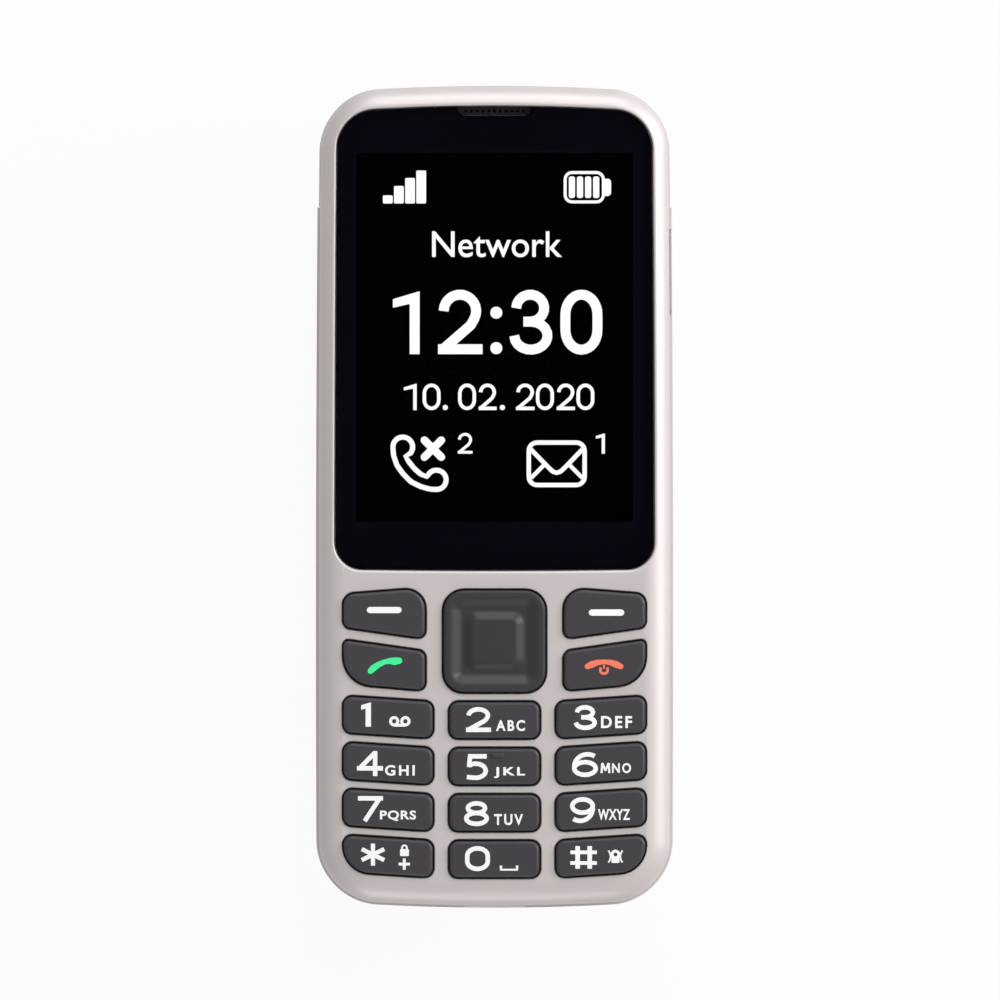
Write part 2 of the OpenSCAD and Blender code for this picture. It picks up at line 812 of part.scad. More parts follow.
// Dished cap with a raised pad in the middle
module navigation_key() {
    dish_z = key_top - nav_dish;
    pad_z = key_top - nav_pad_drop;
    pad_r = nav_r - nav_rim_w;
    color("#3a383d")
        translate([0, nav_y, 0]) {
            difference() {
                loft([
                    [nav_outline(key_gap), nav_flange_top - SLICE],
                    [nav_outline(key_gap), key_top - 0.7 * key_edge],
                    [nav_outline(key_gap + key_edge), key_top]
                ]);
                loft([
                    [box_outline(nav_pad_foot, nav_pad_foot, pad_r), dish_z],
                    [nav_outline(key_gap + nav_rim_w), key_top],
                    [nav_outline(key_gap + nav_rim_w), key_top + CUT]
                ]);
            }
            loft([
                [box_outline(nav_pad_foot, nav_pad_foot, pad_r), dish_z - SLICE],
                [box_outline(nav_pad_top, nav_pad_top, pad_r), pad_z]
            ]);
            slab(nav_outline(-flange_lip), nav_flange_z, nav_flange_top);
        }
}

// Rocker under the cap, with an arm over each of four snap domes
module navigation_rocker() {
    color("#4c4a50")
        translate([0, nav_y, 0]) {
            for (a = [0, 90])
                rotate(a)
                    block(2 * rocker_arm + stem_d, stem_d, 0, rocker_z, rocker_top);
            for (a = [0 : 90 : 270])
                rod(stem_d / 2 - PIVOT_GAP, stem_end, rocker_z + SLICE, rocker_arm * [cos(a), sin(a)]);
            rod(plunger_r - PIVOT_GAP, rocker_top - SLICE, nav_flange_z - PIVOT_GAP);
        }
}

module select_plunger() {
    color("#5a585e")
        rod(plunger_r, rocker_z - PIVOT_GAP - plunger_t, rocker_z - PIVOT_GAP, [0, nav_y]);
}

mat_margin = 0.9;
mat_skirt = 0.8;
mat_w = 2 * (key_half + mat_margin);
mat_head = nav_top + soft_rise + flange_lip - SHELL_FIT;
mat_foot = row_y(ROW_COUNT - 1) - number_h / 2;

module mat_area(inset, z0, z1) {
    intersection() {
        block(mat_w - 2 * inset, mat_head - mat_foot - 2 * inset, (mat_head + mat_foot) / 2, z0, z1);
        slab(outline(BODY, board_inset + inset), z0, z1);
    }
}

// Rubber web with a skirt down to the board and a hole for each plunger
module keypad_mat() {
    color("#6d6b70")
        difference() {
            mat_area(0, film_top, mat_top);
            mat_area(mat_skirt, film_top - CUT, mat_z);
            nav_well = 2 * nav_reach + 4 * SHELL_FIT;
            block(nav_well, 2 * nav_well, nav_y + nav_well / 2, film_top - CUT, mat_top + CUT);
            for (dome = DOMES)
                rod(stem_d / 2 + LOOSE_FIT, mat_z - CUT, mat_top + CUT, dome);
            for (screw = SCREWS)
                rod(boss_r + LOOSE_FIT, film_top - CUT, mat_top + CUT, screw);
        }
}

LEDS = [for (row = [0 : ROW_COUNT - 2], s = [-1, 1])
    [s * (middle_w + column_gap) / 2, row_y(row) - (number_h + row_gap) / 2]];
led_w = 1.6;
led_h = 0.5;

module dome_film() {
    color("#d8d6cf")
        difference() {
            mat_area(0, board_top, film_top);
            for (dome = DOMES)
                rod(dome_d / 2 + PIVOT_GAP, board_top - CUT, film_top + CUT, dome);
            for (led = LEDS)
                block(led_w + LOOSE_FIT, led_w / 2 + LOOSE_FIT, led[1],
                      board_top - CUT, film_top + CUT, led[0]);
            for (screw = SCREWS)
                rod(boss_r + LOOSE_FIT, board_top - CUT, film_top + CUT, screw);
        }
}

module key_domes() {
    r = dome_d / 2;
    color("#c9cbce")
        for (dome = DOMES)
            translate([dome[0], dome[1], board_top])
                rotate_extrude()
                    polygon([[0, 0], [r, 0], [0.7 * r, 0.7 * dome_h], [0.3 * r, dome_h], [0, dome_h]]);
}

module keypad_leds() {
    color("#f2efe0")
        for (led = LEDS)
            block(led_w, led_w / 2, led[1], board_top, board_top + led_h, led[0]);
}

// Board and what it carries

board_inset = front_inset + wall + LOOSE_FIT;

module main_board() {
    color("#1f5a3a")
        difference() {
            slab(outline(BODY, board_inset), board_z, board_top);
            for (screw = SCREWS)
                rod(boss_r + LOOSE_FIT, board_z - CUT, board_top + CUT, screw);
            for (s = [-1, 1])
                block(2 * (boss_r + LOOSE_FIT), 2 * boss_r, foot_screw_y - boss_r,
                      board_z - CUT, board_top + CUT, s * foot_screw_x);
        }
}

can_t = 0.25;
can_gap = 1.4;
can_margin = 4;
can_z = plate_top + SHELL_FIT;
can_l = (battery_l - 2 * can_gap) / 2;
can_w = battery_w - 2 * can_margin;

module shield_cans() {
    color("#b8babd")
        for (s = [-1, 1])
            difference() {
                block(can_w, can_l, battery_y + s * (can_l + can_gap) / 2, can_z, board_z);
                block(can_w - 2 * can_t, can_l - 2 * can_t, battery_y + s * (can_l + can_gap) / 2,
                      can_z + can_t, board_z + CUT);
            }
}

module usb_socket() {
    color("#bfc1c4")
        translate([0, usb_face, usb_z]) {
            difference() {
                bar(usb_w, usb_h, usb_l);
                translate([0, -CUT, 0])
                    bar(usb_w - 2 * usb_t, usb_h - 2 * usb_t, usb_l - usb_t + CUT);
            }
            translate([-usb_w * 3 / 8, usb_l / 4, -usb_t])
                cube([usb_w * 3 / 4, usb_l * 3 / 4, 2 * usb_t]);
        }
}

jack_sink = 0.75;
jack_stop = 0.8;
jack_shoulder = 0.9;
jack_side = 0.5;
jack_under = 0.15;
jack_face = top_y - cap_inset - jack_sink;
jack_base = jack_face - jack_l - jack_stop;
jack_body_face = top_y - cap_inset - wall - jack_shoulder;

module jack_block(grow, z1) {
    l = jack_body_face - jack_base + 2 * grow;
    block(jack_nose_d + 2 * (jack_side + grow), l, (jack_body_face + jack_base) / 2,
          jack_z - jack_nose_d / 2 - jack_under - grow, z1, jack_x);
}

module headset_jack() {
    color("#2b2b2e")
        difference() {
            union() {
                translate([jack_x, jack_base, jack_z])
                    rotate([-90, 0, 0])
                        cylinder(d = jack_nose_d, h = jack_face - jack_base);
                jack_block(0, board_z - TOUCH);
            }
            translate([jack_x, jack_face - jack_l, jack_z])
                rotate([-90, 0, 0])
                    cylinder(d = jack_d, h = jack_l + CUT);
        }
}

card_wall = 0.4;
card_slot_h = 0.75;
card_edge = 0.5;

module card_socket(x) {
    difference() {
        block(card_w, card_l, card_y, can_z, board_z, x);
        block(card_w - 2 * card_wall, card_l, card_y - card_wall,
              can_z + can_t, can_z + can_t + card_slot_h, x);
    }
}

module sim_sockets() {
    color("#c4c6c9")
        for (s = [-1, 0])
            card_socket(s * card_pitch);
}

module memory_card_socket() {
    color("#aeb0b4")
        card_socket(card_pitch);
}

pin_w = 1.4;

module battery_contacts() {
    head = battery_head + battery_play;
    color("#d8b45a") {
        block(contact_w, contact_l, head + contact_l / 2, battery_z + battery_t / 3, board_z);
        for (i = [-1 : 1])
            block(pin_w, battery_play, head - battery_play / 2 + TOUCH, battery_z + battery_t / 2,
                  battery_z + 0.75 * battery_t, i * contact_w / 3);
    }
}

module vibration_motor() {
    color("#a5a7aa")
        rod(motor_d / 2, board_z - motor_h, board_z, [motor_x, motor_y]);
}

module loudspeaker() {
    color("#3a3a3d")
        difference() {
            block(speaker_w, speaker_l, speaker_y, speaker_z, plate_z);
            rod(0.4 * speaker_l, speaker_z - CUT, speaker_z + 1.5 * cone_depth, [0, speaker_y]);
        }
}

module microphone() {
    color("#c8b37a")
        block(mic_w, mic_l, mic_y, board_top, board_top + mic_h, mic_x);
}

module rear_camera() {
    color("#1a1a1c") {
        block(camera_w, camera_w, camera_y, camera_foot, board_z, -camera_x);
        rod(barrel_d / 2, cap_inset + wall + SHELL_FIT, camera_foot + SLICE, [-camera_x, camera_y]);
    }
}

window_t = 0.7;
window_ledge = 0.7;
window_z = cap_inset + SHELL_FIT;

module camera_window() {
    color("#101014")
        rod(window_d / 2 - PIVOT_GAP, window_z, window_z + window_t, [-camera_x, camera_y]);
}

flash_h = 1.2;
flash_w = 2.4;
flash_lip = 0.4;
flash_lip_t = 0.6;
flash_foot = board_z - flash_h;

module flash_led() {
    color("#f0e6a8")
        block(flash_w, flash_w, camera_y, flash_foot, board_z, -flash_x);
}

module flash_lens() {
    lip_z = cap_inset + wall;
    at = [-flash_x, camera_y];
    color("#e9eaec") {
        rod(flash_d / 2 - PIVOT_GAP, window_z, lip_z + SLICE, at);
        rod(flash_d / 2 + flash_lip, lip_z, lip_z + flash_lip_t, at);
        rod(flash_d / 3, lip_z + flash_lip_t - SLICE, flash_foot - PIVOT_GAP, at);
    }
}

antenna_t = 0.8;
antenna_w = 3;
antenna_foot = 7;
antenna_x = speaker_w / 2 + rib_t + antenna_w;

module antenna() {
    foot_y = speaker_y - speaker_l / 2 + antenna_w / 2;
    foot_x = antenna_x + (antenna_foot - antenna_w) / 2;
    color("#c58b3c") {
        block(antenna_w, speaker_l, speaker_y, plate_z - antenna_t, plate_z, -antenna_x);
        block(antenna_foot, antenna_w, foot_y, plate_z - antenna_t, plate_z, -foot_x);
    }
}

volume_plate_t = 0.5;
volume_foot_l = 1.6;
volume_r = 0.8;
volume_edge = 0.3;
switch_w = 1.4;
switch_l = 2.6;
switch_end = 2;
volume_back = side_x(volume_y, wall) - volume_swing - MIN_R - volume_plate_t;
switch_face = volume_back - volume_plate_t - volume_swing - PIVOT_GAP;
switch_y = volume_l / 2 - switch_end;

module volume_switches() {
    color("#8f9194")
        for (s = [-1, 1])
            block(switch_w, switch_l, volume_y + s * switch_y, volume_z - volume_h / 2, board_z,
                  switch_face - switch_w / 2);
}

// Rear shells, battery and volume key

module cap_shell() {
    difference() {
        above(cap_wall_y)
            rolled_block(cap_inset, cap_top, cap_inset, back_roll_w, back_roll_h);
        above(cap_wall_y + wall)
            rolled_block(cap_inset + wall, cap_top + CUT, cap_inset + wall,
                         back_roll_w - wall, back_roll_h - wall);
    }
}

chassis_inset = wall + SHELL_FIT;
tongue_inset = front_inset + wall + SHELL_FIT;

// Plate behind the board with a rim that carries the front shell
module chassis() {
    below(cap_wall_y + wall)
        slab(outline(BODY, chassis_inset), plate_z, plate_top);
    below(cap_wall_y + wall)
        band(chassis_inset, tongue_inset + wall - chassis_inset, plate_z, cap_top);
    band(tongue_inset, wall, plate_top, board_z - TOUCH);
}

module battery_bay() {
    w = battery_w + 2 * battery_play;
    l = battery_head - battery_foot + 2 * battery_play;
    difference() {
        block(w + 2 * rib_t, l + rib_t, battery_y - rib_t / 2, battery_z, plate_z + SLICE);
        block(w, l + rib_t, battery_y + rib_t / 2, battery_z - CUT, plate_z + CUT);
    }
}

module speaker_frame() {
    w = speaker_w + 2 * SHELL_FIT;
    l = speaker_l + 2 * SHELL_FIT;
    z0 = plate_z - 2 * rib_t;
    difference() {
        block(w + 2 * rib_t, l + 2 * rib_t, speaker_y, z0, plate_z + SLICE);
        block(w, l, speaker_y, z0 - CUT, plate_z + CUT);
    }
}

module rear_housing() {
    color("#bdb6b3")
        difference() {
            union() {
                cap_shell();
                chassis();
                battery_bay();
                speaker_frame();
            }
            for (screw = SCREWS) {
                rod(screw_d / 2 + SHELL_FIT, plate_z - CUT, plate_top + CUT, screw);
                rod(boss_r + LOOSE_FIT, plate_top, board_z + CUT, screw);
            }
            for (s = [-1, 1])
                block(2 * (boss_r + LOOSE_FIT), 2 * boss_r + wall, foot_screw_y - boss_r,
                      parting_z, board_z, s * foot_screw_x);
            for (i = [-1 : 1])
                block(card_w - 2 * card_edge, card_l - 2 * card_edge, card_y,
                      plate_z - CUT, plate_top + CUT, i * card_pitch);
            block(contact_w + 2 * LOOSE_FIT, contact_l + 2 * LOOSE_FIT,
                  battery_head + battery_play + contact_l / 2, plate_z - CUT, plate_top + CUT);
            block(usb_w + 2 * LOOSE_FIT, usb_l + 4 * wall, usb_back + LOOSE_FIT - usb_l / 2 - 2 * wall,
                  usb_z - usb_h / 2 - LOOSE_FIT, board_z);
            block(2 * (side_x(volume_y, 0) - switch_face + switch_w + LOOSE_FIT),
                  volume_l + 2 * (volume_lip + CUT), volume_y,
                  volume_z - volume_h / 2 - LOOSE_FIT, board_z, side_x(volume_y, 0));
            jack_block(LOOSE_FIT, board_z);
            translate([jack_x, jack_body_face - CUT, jack_z])
                rotate([-90, 0, 0])
                    cylinder(d = jack_nose_d + 2 * SHELL_FIT, h = 3 * wall);
            rod(window_d / 2 - window_ledge, 0, cap_inset + 2 * wall, [-camera_x, camera_y]);
            rod(window_d / 2, 0, window_z + window_t, [-camera_x, camera_y]);
            rod(flash_d / 2, 0, cap_inset + 2 * wall, [-flash_x, camera_y]);
        }
}

module battery() {
    color("#2c2d31")
        block(battery_w, battery_l, battery_y, battery_z, battery_top);
}

recess_w = 0.4;

module case_screws() {
    color("#a9abae")
        for (screw = SCREWS)
            translate([screw[0], screw[1], plate_z])
                difference() {
                    union() {
                        translate([0, 0, -screw_head_h])
                            cylinder(d = screw_head_d, h = screw_head_h);
                        cylinder(d = screw_d - TOUCH, h = screw_l);
                    }
                    for (a = [0, 90])
                        rotate(a)
                            block(0.6 * screw_head_d, recess_w, 0, -screw_head_h - CUT, -screw_head_h / 2);
                }
}

SLOT_COUNT = 5;
sound_slot_w = 0.8;
slot_pitch = 2;

module sound_slots() {
    for (i = [0 : SLOT_COUNT - 1]) {
        y = speaker_y + (i - (SLOT_COUNT - 1) / 2) * slot_pitch;
        block(speaker_w / 2, sound_slot_w, y, -CUT, wall + CUT);
        for (s = [-1, 1])
            rod(sound_slot_w / 2, -CUT, wall + CUT, [s * speaker_w / 4, y]);
    }
}

module battery_cover() {
    color("#c9c2bf")
        difference() {
            below(split_y - seam / 2)
                difference() {
                    rolled_block(0, cover_top, 0, back_roll_w, back_roll_h);
                    rolled_block(wall, cover_top + CUT, wall, back_roll_w - wall, back_roll_h - wall);
                }
            usb_cut(usb_z - usb_h / 2 - LOOSE_FIT, cover_top + CUT);
            block(6 * wall, volume_l + 2 * LOOSE_FIT, volume_y,
                  volume_z - volume_h / 2 - LOOSE_FIT, cover_top + CUT, side_x(volume_y, 0));
            sound_slots();
        }
}

module volume_key() {
    face = side_x(volume_y + volume_l / 2, 0) - TOUCH;
    z0 = volume_z - volume_h / 2;
    z1 = volume_z + volume_h / 2;
    color("#8f8a88") {
        translate([volume_back, volume_y, volume_z])
            rotate([0, 90, 0])
                loft([
                    [box_outline(volume_h, volume_l, volume_r), volume_plate_t / 2],
                    [box_outline(volume_h, volume_l, volume_r), face - volume_back - volume_edge],
                    [box_outline(volume_h, volume_l, volume_r, volume_edge), face - volume_back]
                ]);
        block(volume_plate_t, volume_l + 2 * volume_lip, volume_y, z0, z1,
              volume_back + volume_plate_t / 2);
        for (s = [-1, 1])
            block(volume_plate_t + SLICE, volume_foot_l, volume_y + s * switch_y, z0, z1,
                  volume_back - volume_plate_t / 2);
    }
}

front_housing();
display_lens();
lens_adhesive();
display_gasket();
display_panel();
display_tray();
display_flex();
earpiece_mesh();
earpiece_speaker();
keypad_mat();
dome_film();
key_domes();
keypad_leds();
main_board();
shield_cans();
usb_socket();
headset_jack();
sim_sockets();
memory_card_socket();
battery_contacts();
vibration_motor();
loudspeaker();
microphone();
rear_camera();
camera_window();
flash_led();
flash_lens();
antenna();
volume_switches();
rear_housing();
battery();
case_screws();
battery_cover();
volume_key();
navigation_key();
navigation_rocker();
select_plunger();
for (key = KEYS)
    phone_key(key);
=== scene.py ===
import json
import math

import bpy
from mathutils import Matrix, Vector

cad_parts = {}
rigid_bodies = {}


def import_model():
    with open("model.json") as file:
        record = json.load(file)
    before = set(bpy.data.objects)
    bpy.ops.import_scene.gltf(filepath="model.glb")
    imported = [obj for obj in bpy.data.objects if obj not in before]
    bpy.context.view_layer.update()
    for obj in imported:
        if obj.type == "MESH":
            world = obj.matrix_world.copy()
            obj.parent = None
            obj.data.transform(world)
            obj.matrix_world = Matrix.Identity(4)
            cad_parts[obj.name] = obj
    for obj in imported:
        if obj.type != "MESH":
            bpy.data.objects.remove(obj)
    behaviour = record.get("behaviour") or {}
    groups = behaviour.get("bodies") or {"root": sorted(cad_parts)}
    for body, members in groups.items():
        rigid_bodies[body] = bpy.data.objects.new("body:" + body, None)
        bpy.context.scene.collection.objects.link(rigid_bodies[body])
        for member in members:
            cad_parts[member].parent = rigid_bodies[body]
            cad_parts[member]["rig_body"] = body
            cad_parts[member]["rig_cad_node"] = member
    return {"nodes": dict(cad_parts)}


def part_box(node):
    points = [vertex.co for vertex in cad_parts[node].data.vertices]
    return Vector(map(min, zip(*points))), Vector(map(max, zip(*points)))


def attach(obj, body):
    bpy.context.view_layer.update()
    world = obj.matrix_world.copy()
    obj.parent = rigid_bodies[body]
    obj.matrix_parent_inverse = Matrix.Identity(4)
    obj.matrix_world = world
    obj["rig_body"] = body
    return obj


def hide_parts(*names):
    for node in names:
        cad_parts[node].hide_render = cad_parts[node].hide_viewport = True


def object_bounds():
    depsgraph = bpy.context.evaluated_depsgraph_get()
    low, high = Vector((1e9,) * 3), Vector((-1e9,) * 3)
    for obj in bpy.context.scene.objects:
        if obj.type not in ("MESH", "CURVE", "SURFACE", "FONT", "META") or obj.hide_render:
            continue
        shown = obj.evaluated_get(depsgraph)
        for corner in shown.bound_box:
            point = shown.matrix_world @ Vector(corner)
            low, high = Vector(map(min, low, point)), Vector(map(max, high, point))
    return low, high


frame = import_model()
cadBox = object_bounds()
mm = 0.001
spare = 1 * mm  # how far a cutting tool reaches past what it cuts


def lengths(**values):
    # Millimetres to metres
    return {key: value * mm for key, value in values.items()}


# Heights that the frame gives

level = {
    "face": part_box("front_housing")[1].z,
    "coverTop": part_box("battery_cover")[1].z,
    "lensFoot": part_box("display_lens")[0].z,
    "lensFace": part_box("display_lens")[1].z,
    "panelTop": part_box("display_panel")[1].z,
    "keyFoot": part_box("key_1")[0].z,
    "keyTop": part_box("key_1")[1].z,
    "navTop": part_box("navigation_key")[1].z,
    "navFoot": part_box("navigation_key")[0].z,
}
seam = 0.2 * mm
level["parting"] = level["coverTop"] + seam
level["capTop"] = level["parting"] - seam / 2

photo = {"middleX": 494.5, "middleY": 496.0, "pixels": 6.4, "width": 1000}  # pixels to a millimetre


def fromPixels(count):
    return count / photo["pixels"] * mm


def photoPlace(px, py):
    return Vector((fromPixels(px - photo["middleX"]), fromPixels(photo["middleY"] - py)))


# Shader nodes

def opaque(color):
    return tuple(color) + (1,)


def setInputs(node, values):
    for key, value in values.items():
        node.inputs[key].default_value = value


def addNode(tree, kind, values=None, operation=None):
    node = tree.nodes.new(kind)
    if operation:
        node.operation = operation
    setInputs(node, values or {})
    return node


def linkAll(tree, *links):
    # Each link goes from a node's output to a node's input
    for source, output, target, given in links:
        tree.links.new(source.outputs[output], target.inputs[given])


def seenByEye(tree):
    # 1 for what the camera sees straight, in a mirror or through glass
    path = addNode(tree, "ShaderNodeLightPath")
    seen, output = path, "Is Camera Ray"
    for kind in ("Is Glossy Ray", "Is Transmission Ray"):
        either = addNode(tree, "ShaderNodeMath", operation="MAXIMUM")
        linkAll(tree, (seen, output, either, 0), (path, kind, either, 1))
        seen, output = either, 0
    return seen


# Camera, lamps, floor

studio = {
    "cameraHeight": 2.5, "sensor": 36.0,
    "keyPlace": (0.74, 0.30, 0.42), "keySize": 0.5, "keyPower": 6.1,
    "topPlace": (0.05, 0.72, 0.46), "topSize": 0.4, "topPower": 2.2,
    "fillPlace": (-0.10, -0.80, 0.28), "fillSize": 0.4, "fillPower": 1.2,
    "worldLight": 0.2, "floorColor": 0.93, "floorRough": 0.8, "floorHalf": 16.0, "floorGlow": 0.93,
    "floorDrop": 12.05 * mm,  # room for the cover, which comes off downwards
    "flagColor": 0.002, "flagRough": 0.9, "flagHeight": 2.9, "flagHalf": 0.26,
}


def addArea(name, place, size, power):
    bpy.ops.object.light_add(type="AREA", location=place)
    lamp = bpy.context.object
    lamp.name = name
    lamp.data.shape = "DISK"
    lamp.data.size = size
    lamp.data.energy = power
    lamp.visible_camera = False
    lamp.rotation_euler = (-Vector(place)).to_track_quat("-Z", "Y").to_euler()


def addSheet(name, half, z, material):
    bpy.ops.mesh.primitive_plane_add(size=2 * half, location=(0, 0, z))
    sheet = bpy.context.object
    sheet.name = name
    sheet.data.materials.append(material)
    return sheet


def makeStudio(size):
    scene = bpy.context.scene
    scene.view_settings.view_transform = "Standard"
    middle = photoPlace(photo["width"] / 2, photo["width"] / 2)
    bpy.ops.object.camera_add(location=(middle.x, middle.y, level["face"] + size["cameraHeight"]))
    camera = bpy.context.object
    camera.data.sensor_width = size["sensor"]
    camera.data.lens = size["sensor"] * size["cameraHeight"] / fromPixels(photo["width"])
    scene.camera = camera
    for lamp in ("key", "top", "fill"):
        addArea(lamp + "Lamp", size[lamp + "Place"], size[lamp + "Size"], size[lamp + "Power"])

    world = bpy.data.worlds.new("studioWorld")
    world.use_nodes = True
    scene.world = world
    tree = world.node_tree
    mix = addNode(tree, "ShaderNodeMix")
    mix.data_type = "RGBA"
    setInputs(mix, {"A": opaque([size["worldLight"]] * 3), "B": opaque([1] * 3)})
    linkAll(tree, (seenByEye(tree), 0, mix, "Factor"), (mix, "Result", tree.nodes["Background"], "Color"))

    paper = floorMaterial(size["floorColor"], size["floorRough"], size["floorGlow"])
    floor = addSheet("floor", size["floorHalf"], -size["floorDrop"], paper)
    # A dark card over the camera keeps the lens from mirroring the studio
    cloth = newMaterial("flagCloth", {
        "Base Color": opaque([size["flagColor"]] * 3), "Roughness": size["flagRough"]})
    flag = addSheet("flag", size["flagHalf"], size["flagHeight"], cloth[0])
    print("studio ready")


# Finishes

def newMaterial(name, values):
    material = bpy.data.materials.new(name)
    material.use_nodes = True
    shader = material.node_tree.nodes["Principled BSDF"]
    setInputs(shader, values)
    return material, material.node_tree, shader


def floorMaterial(color, roughness, glowShare):
    # Paper that the camera sees nearly white, while it lights the part like paper
    material, tree, shader = newMaterial("floorPaper", {
        "Base Color": opaque([color] * 3), "Roughness": roughness})
    glow = addNode(tree, "ShaderNodeEmission")
    blend = addNode(tree, "ShaderNodeMixShader")
    share = addNode(tree, "ShaderNodeMath", {1: glowShare}, "MULTIPLY")
    linkAll(tree, (seenByEye(tree), 0, share, 0), (share, 0, blend, "Fac"), (shader, 0, blend, 1),
            (glow, 0, blend, 2), (blend, 0, tree.nodes["Material Output"], "Surface"))
    return material


def makeGrainGroup():
    # Fine grain and a slow drift of tone over the surface
    group = bpy.data.node_groups.new("surfaceGrain", "ShaderNodeTree")
    for way, names in (("INPUT", ("Color", "Scale", "Depth", "Drift")), ("OUTPUT", ("Color", "Height"))):
        for name in names:
            kind = "NodeSocketColor" if name == "Color" else "NodeSocketFloat"
            group.interface.new_socket(name=name, in_out=way, socket_type=kind)
    start = addNode(group, "NodeGroupInput")
    end = addNode(group, "NodeGroupOutput")
    place = addNode(group, "ShaderNodeTexCoord")
    fine = addNode(group, "ShaderNodeTexNoise", {"Detail": 3.0})
    slow = addNode(group, "ShaderNodeTexNoise", {"Scale": 55.0, "Detail": 2.0})

    def aboutOne(noise, share):
        # 1 plus the noise's distance from its middle, times its share
        centre = addNode(group, "ShaderNodeMath", {1: 0.5}, "SUBTRACT")
        spread = addNode(group, "ShaderNodeMath", {2: 1.0}, "MULTIPLY_ADD")
        linkAll(group, (noise, "Fac", centre, 0), (centre, 0, spread, 0), (start, share, spread, 1))
        return spread

    product = addNode(group, "ShaderNodeMath", operation="MULTIPLY")
    tint = addNode(group, "ShaderNodeVectorMath", operation="SCALE")
    linkAll(group, (place, "Object", fine, "Vector"), (place, "Object", slow, "Vector"),
            (start, "Scale", fine, "Scale"), (aboutOne(fine, "Depth"), 0, product, 0),
            (aboutOne(slow, "Drift"), 0, product, 1), (start, "Color", tint, 0),
            (product, 0, tint, "Scale"), (tint, 0, end, "Color"), (fine, "Fac", end, "Height"))
    return group


grainGroup = makeGrainGroup()


def addGrain(tree, color, scale, depth, drift):
    grain = addNode(tree, "ShaderNodeGroup")
    grain.node_tree = grainGroup
    setInputs(grain, {"Color": opaque(color), "Scale": scale, "Depth": depth, "Drift": drift})
    return grain


def grainMaterial(name, color, roughness, scale, depth, bump, drift=0.1, bumpDepth=0.02,
                  metallic=0.0, specular=0.5, roughSpread=0.12, glow=0.0):
    material, tree, shader = newMaterial(name, {
        "Metallic": metallic, "Specular IOR Level": specular, "Emission Strength": glow})
    grain = addGrain(tree, color, scale, depth, drift)
    half = roughSpread / 2
    rough = addNode(tree, "ShaderNodeMapRange", {"To Min": roughness - half, "To Max": roughness + half})
    lift = addNode(tree, "ShaderNodeBump", {"Strength": bump, "Distance": bumpDepth * mm})
    linkAll(tree, (grain, "Color", shader, "Base Color"), (grain, "Color", shader, "Emission Color"),
            (grain, "Height", rough, "Value"), (rough, "Result", shader, "Roughness"),
            (grain, "Height", lift, "Height"), (lift, "Normal", shader, "Normal"))
    return material


def glowMaterial(name, color, strength, ground, scale, depth, drift):
    material, tree, shader = newMaterial(name, {"Emission Strength": strength, "Base Color": opaque(ground)})
    linkAll(tree, (addGrain(tree, color, scale, depth, drift), "Color", shader, "Emission Color"))
    return material


def glassMaterial(name, index, smooth, rough, smearScale):
    material, tree, shader = newMaterial(name, {
        "Base Color": opaque([1] * 3), "Transmission Weight": 1.0, "IOR": index})
    place = addNode(tree, "ShaderNodeTexCoord")
    smear = addNode(tree, "ShaderNodeTexNoise", {"Scale": smearScale})
    spread = addNode(tree, "ShaderNodeMapRange", {"To Min": smooth, "To Max": rough})
    linkAll(tree, (place, "Object", smear, "Vector"), (smear, "Fac", spread, "Value"),
            (spread, "Result", shader, "Roughness"))
    return material


paintGrain = {"scale": 6500.0, "depth": 0.09, "drift": 0.04, "bump": 0.12, "bumpDepth": 0.012, "metallic": 0.35}
silverPaint = grainMaterial("silverPaint", (0.66, 0.607, 0.602), 0.48, **paintGrain)
backPaint = grainMaterial("backPaint", (0.68, 0.627, 0.62), 0.48, **paintGrain)
keyPlastic = grainMaterial("keyPlastic", (0.037, 0.034, 0.040), 0.46, scale=4200.0, depth=0.16, bump=0.22,
                           specular=0.45)
navRubber = grainMaterial("navRubber", (0.039, 0.037, 0.043), 0.42, scale=4200.0, depth=0.14, bump=0.16,
                          specular=0.3)
volumePlastic = grainMaterial("volumePlastic", (0.36, 0.335, 0.325), 0.42, scale=5200.0, depth=0.10, drift=0.05,
                              bump=0.12, bumpDepth=0.012)
printGrainAndGlow = {"scale": 8000.0, "bump": 0.05, "bumpDepth": 0.005, "glow": 0.27}  # the prints glow a little: painted light that makes the legends brighter
whitePrint = grainMaterial("whitePrint", (0.96, 0.955, 0.955), 0.55, depth=0.05, drift=0.03, **printGrainAndGlow)
greenPrint = grainMaterial("greenPrint", (0.048, 0.86, 0.31), 0.5, depth=0.06, **printGrainAndGlow)
redPrint = grainMaterial("redPrint", (0.93, 0.197, 0.118), 0.5, depth=0.06, **printGrainAndGlow)
lensGlass = glassMaterial("lensGlass", 1.2, smooth=0.01, rough=0.045, smearScale=90.0)  # coated against glare
blackPrint = grainMaterial("blackPrint", (0.0030, 0.0024, 0.0048), 0.6, scale=7000.0, depth=0.2, bump=0.0,
                           bumpDepth=0.0, specular=0.0)
screenGlow = glowMaterial("screenGlow", (1.0, 1.0, 1.0), 1.0, (0.01, 0.01, 0.01), scale=9000.0, depth=0.06,
                          drift=0.03)


# Modelling helpers

flatEnough = 0.9  # of a face's normal, to count as level
samePlace = 1e-6
smoothBelow = {"shell": 40, "key": 50, "print": 30}  # degrees between faces that shade as one


def deselectAll():
    if bpy.context.object and bpy.context.object.mode != "OBJECT":
        bpy.ops.object.mode_set(mode="OBJECT")
    bpy.ops.object.select_all(action="DESELECT")


def makeActive(obj):
    deselectAll()
    obj.select_set(True)
    bpy.context.view_layer.objects.active = obj


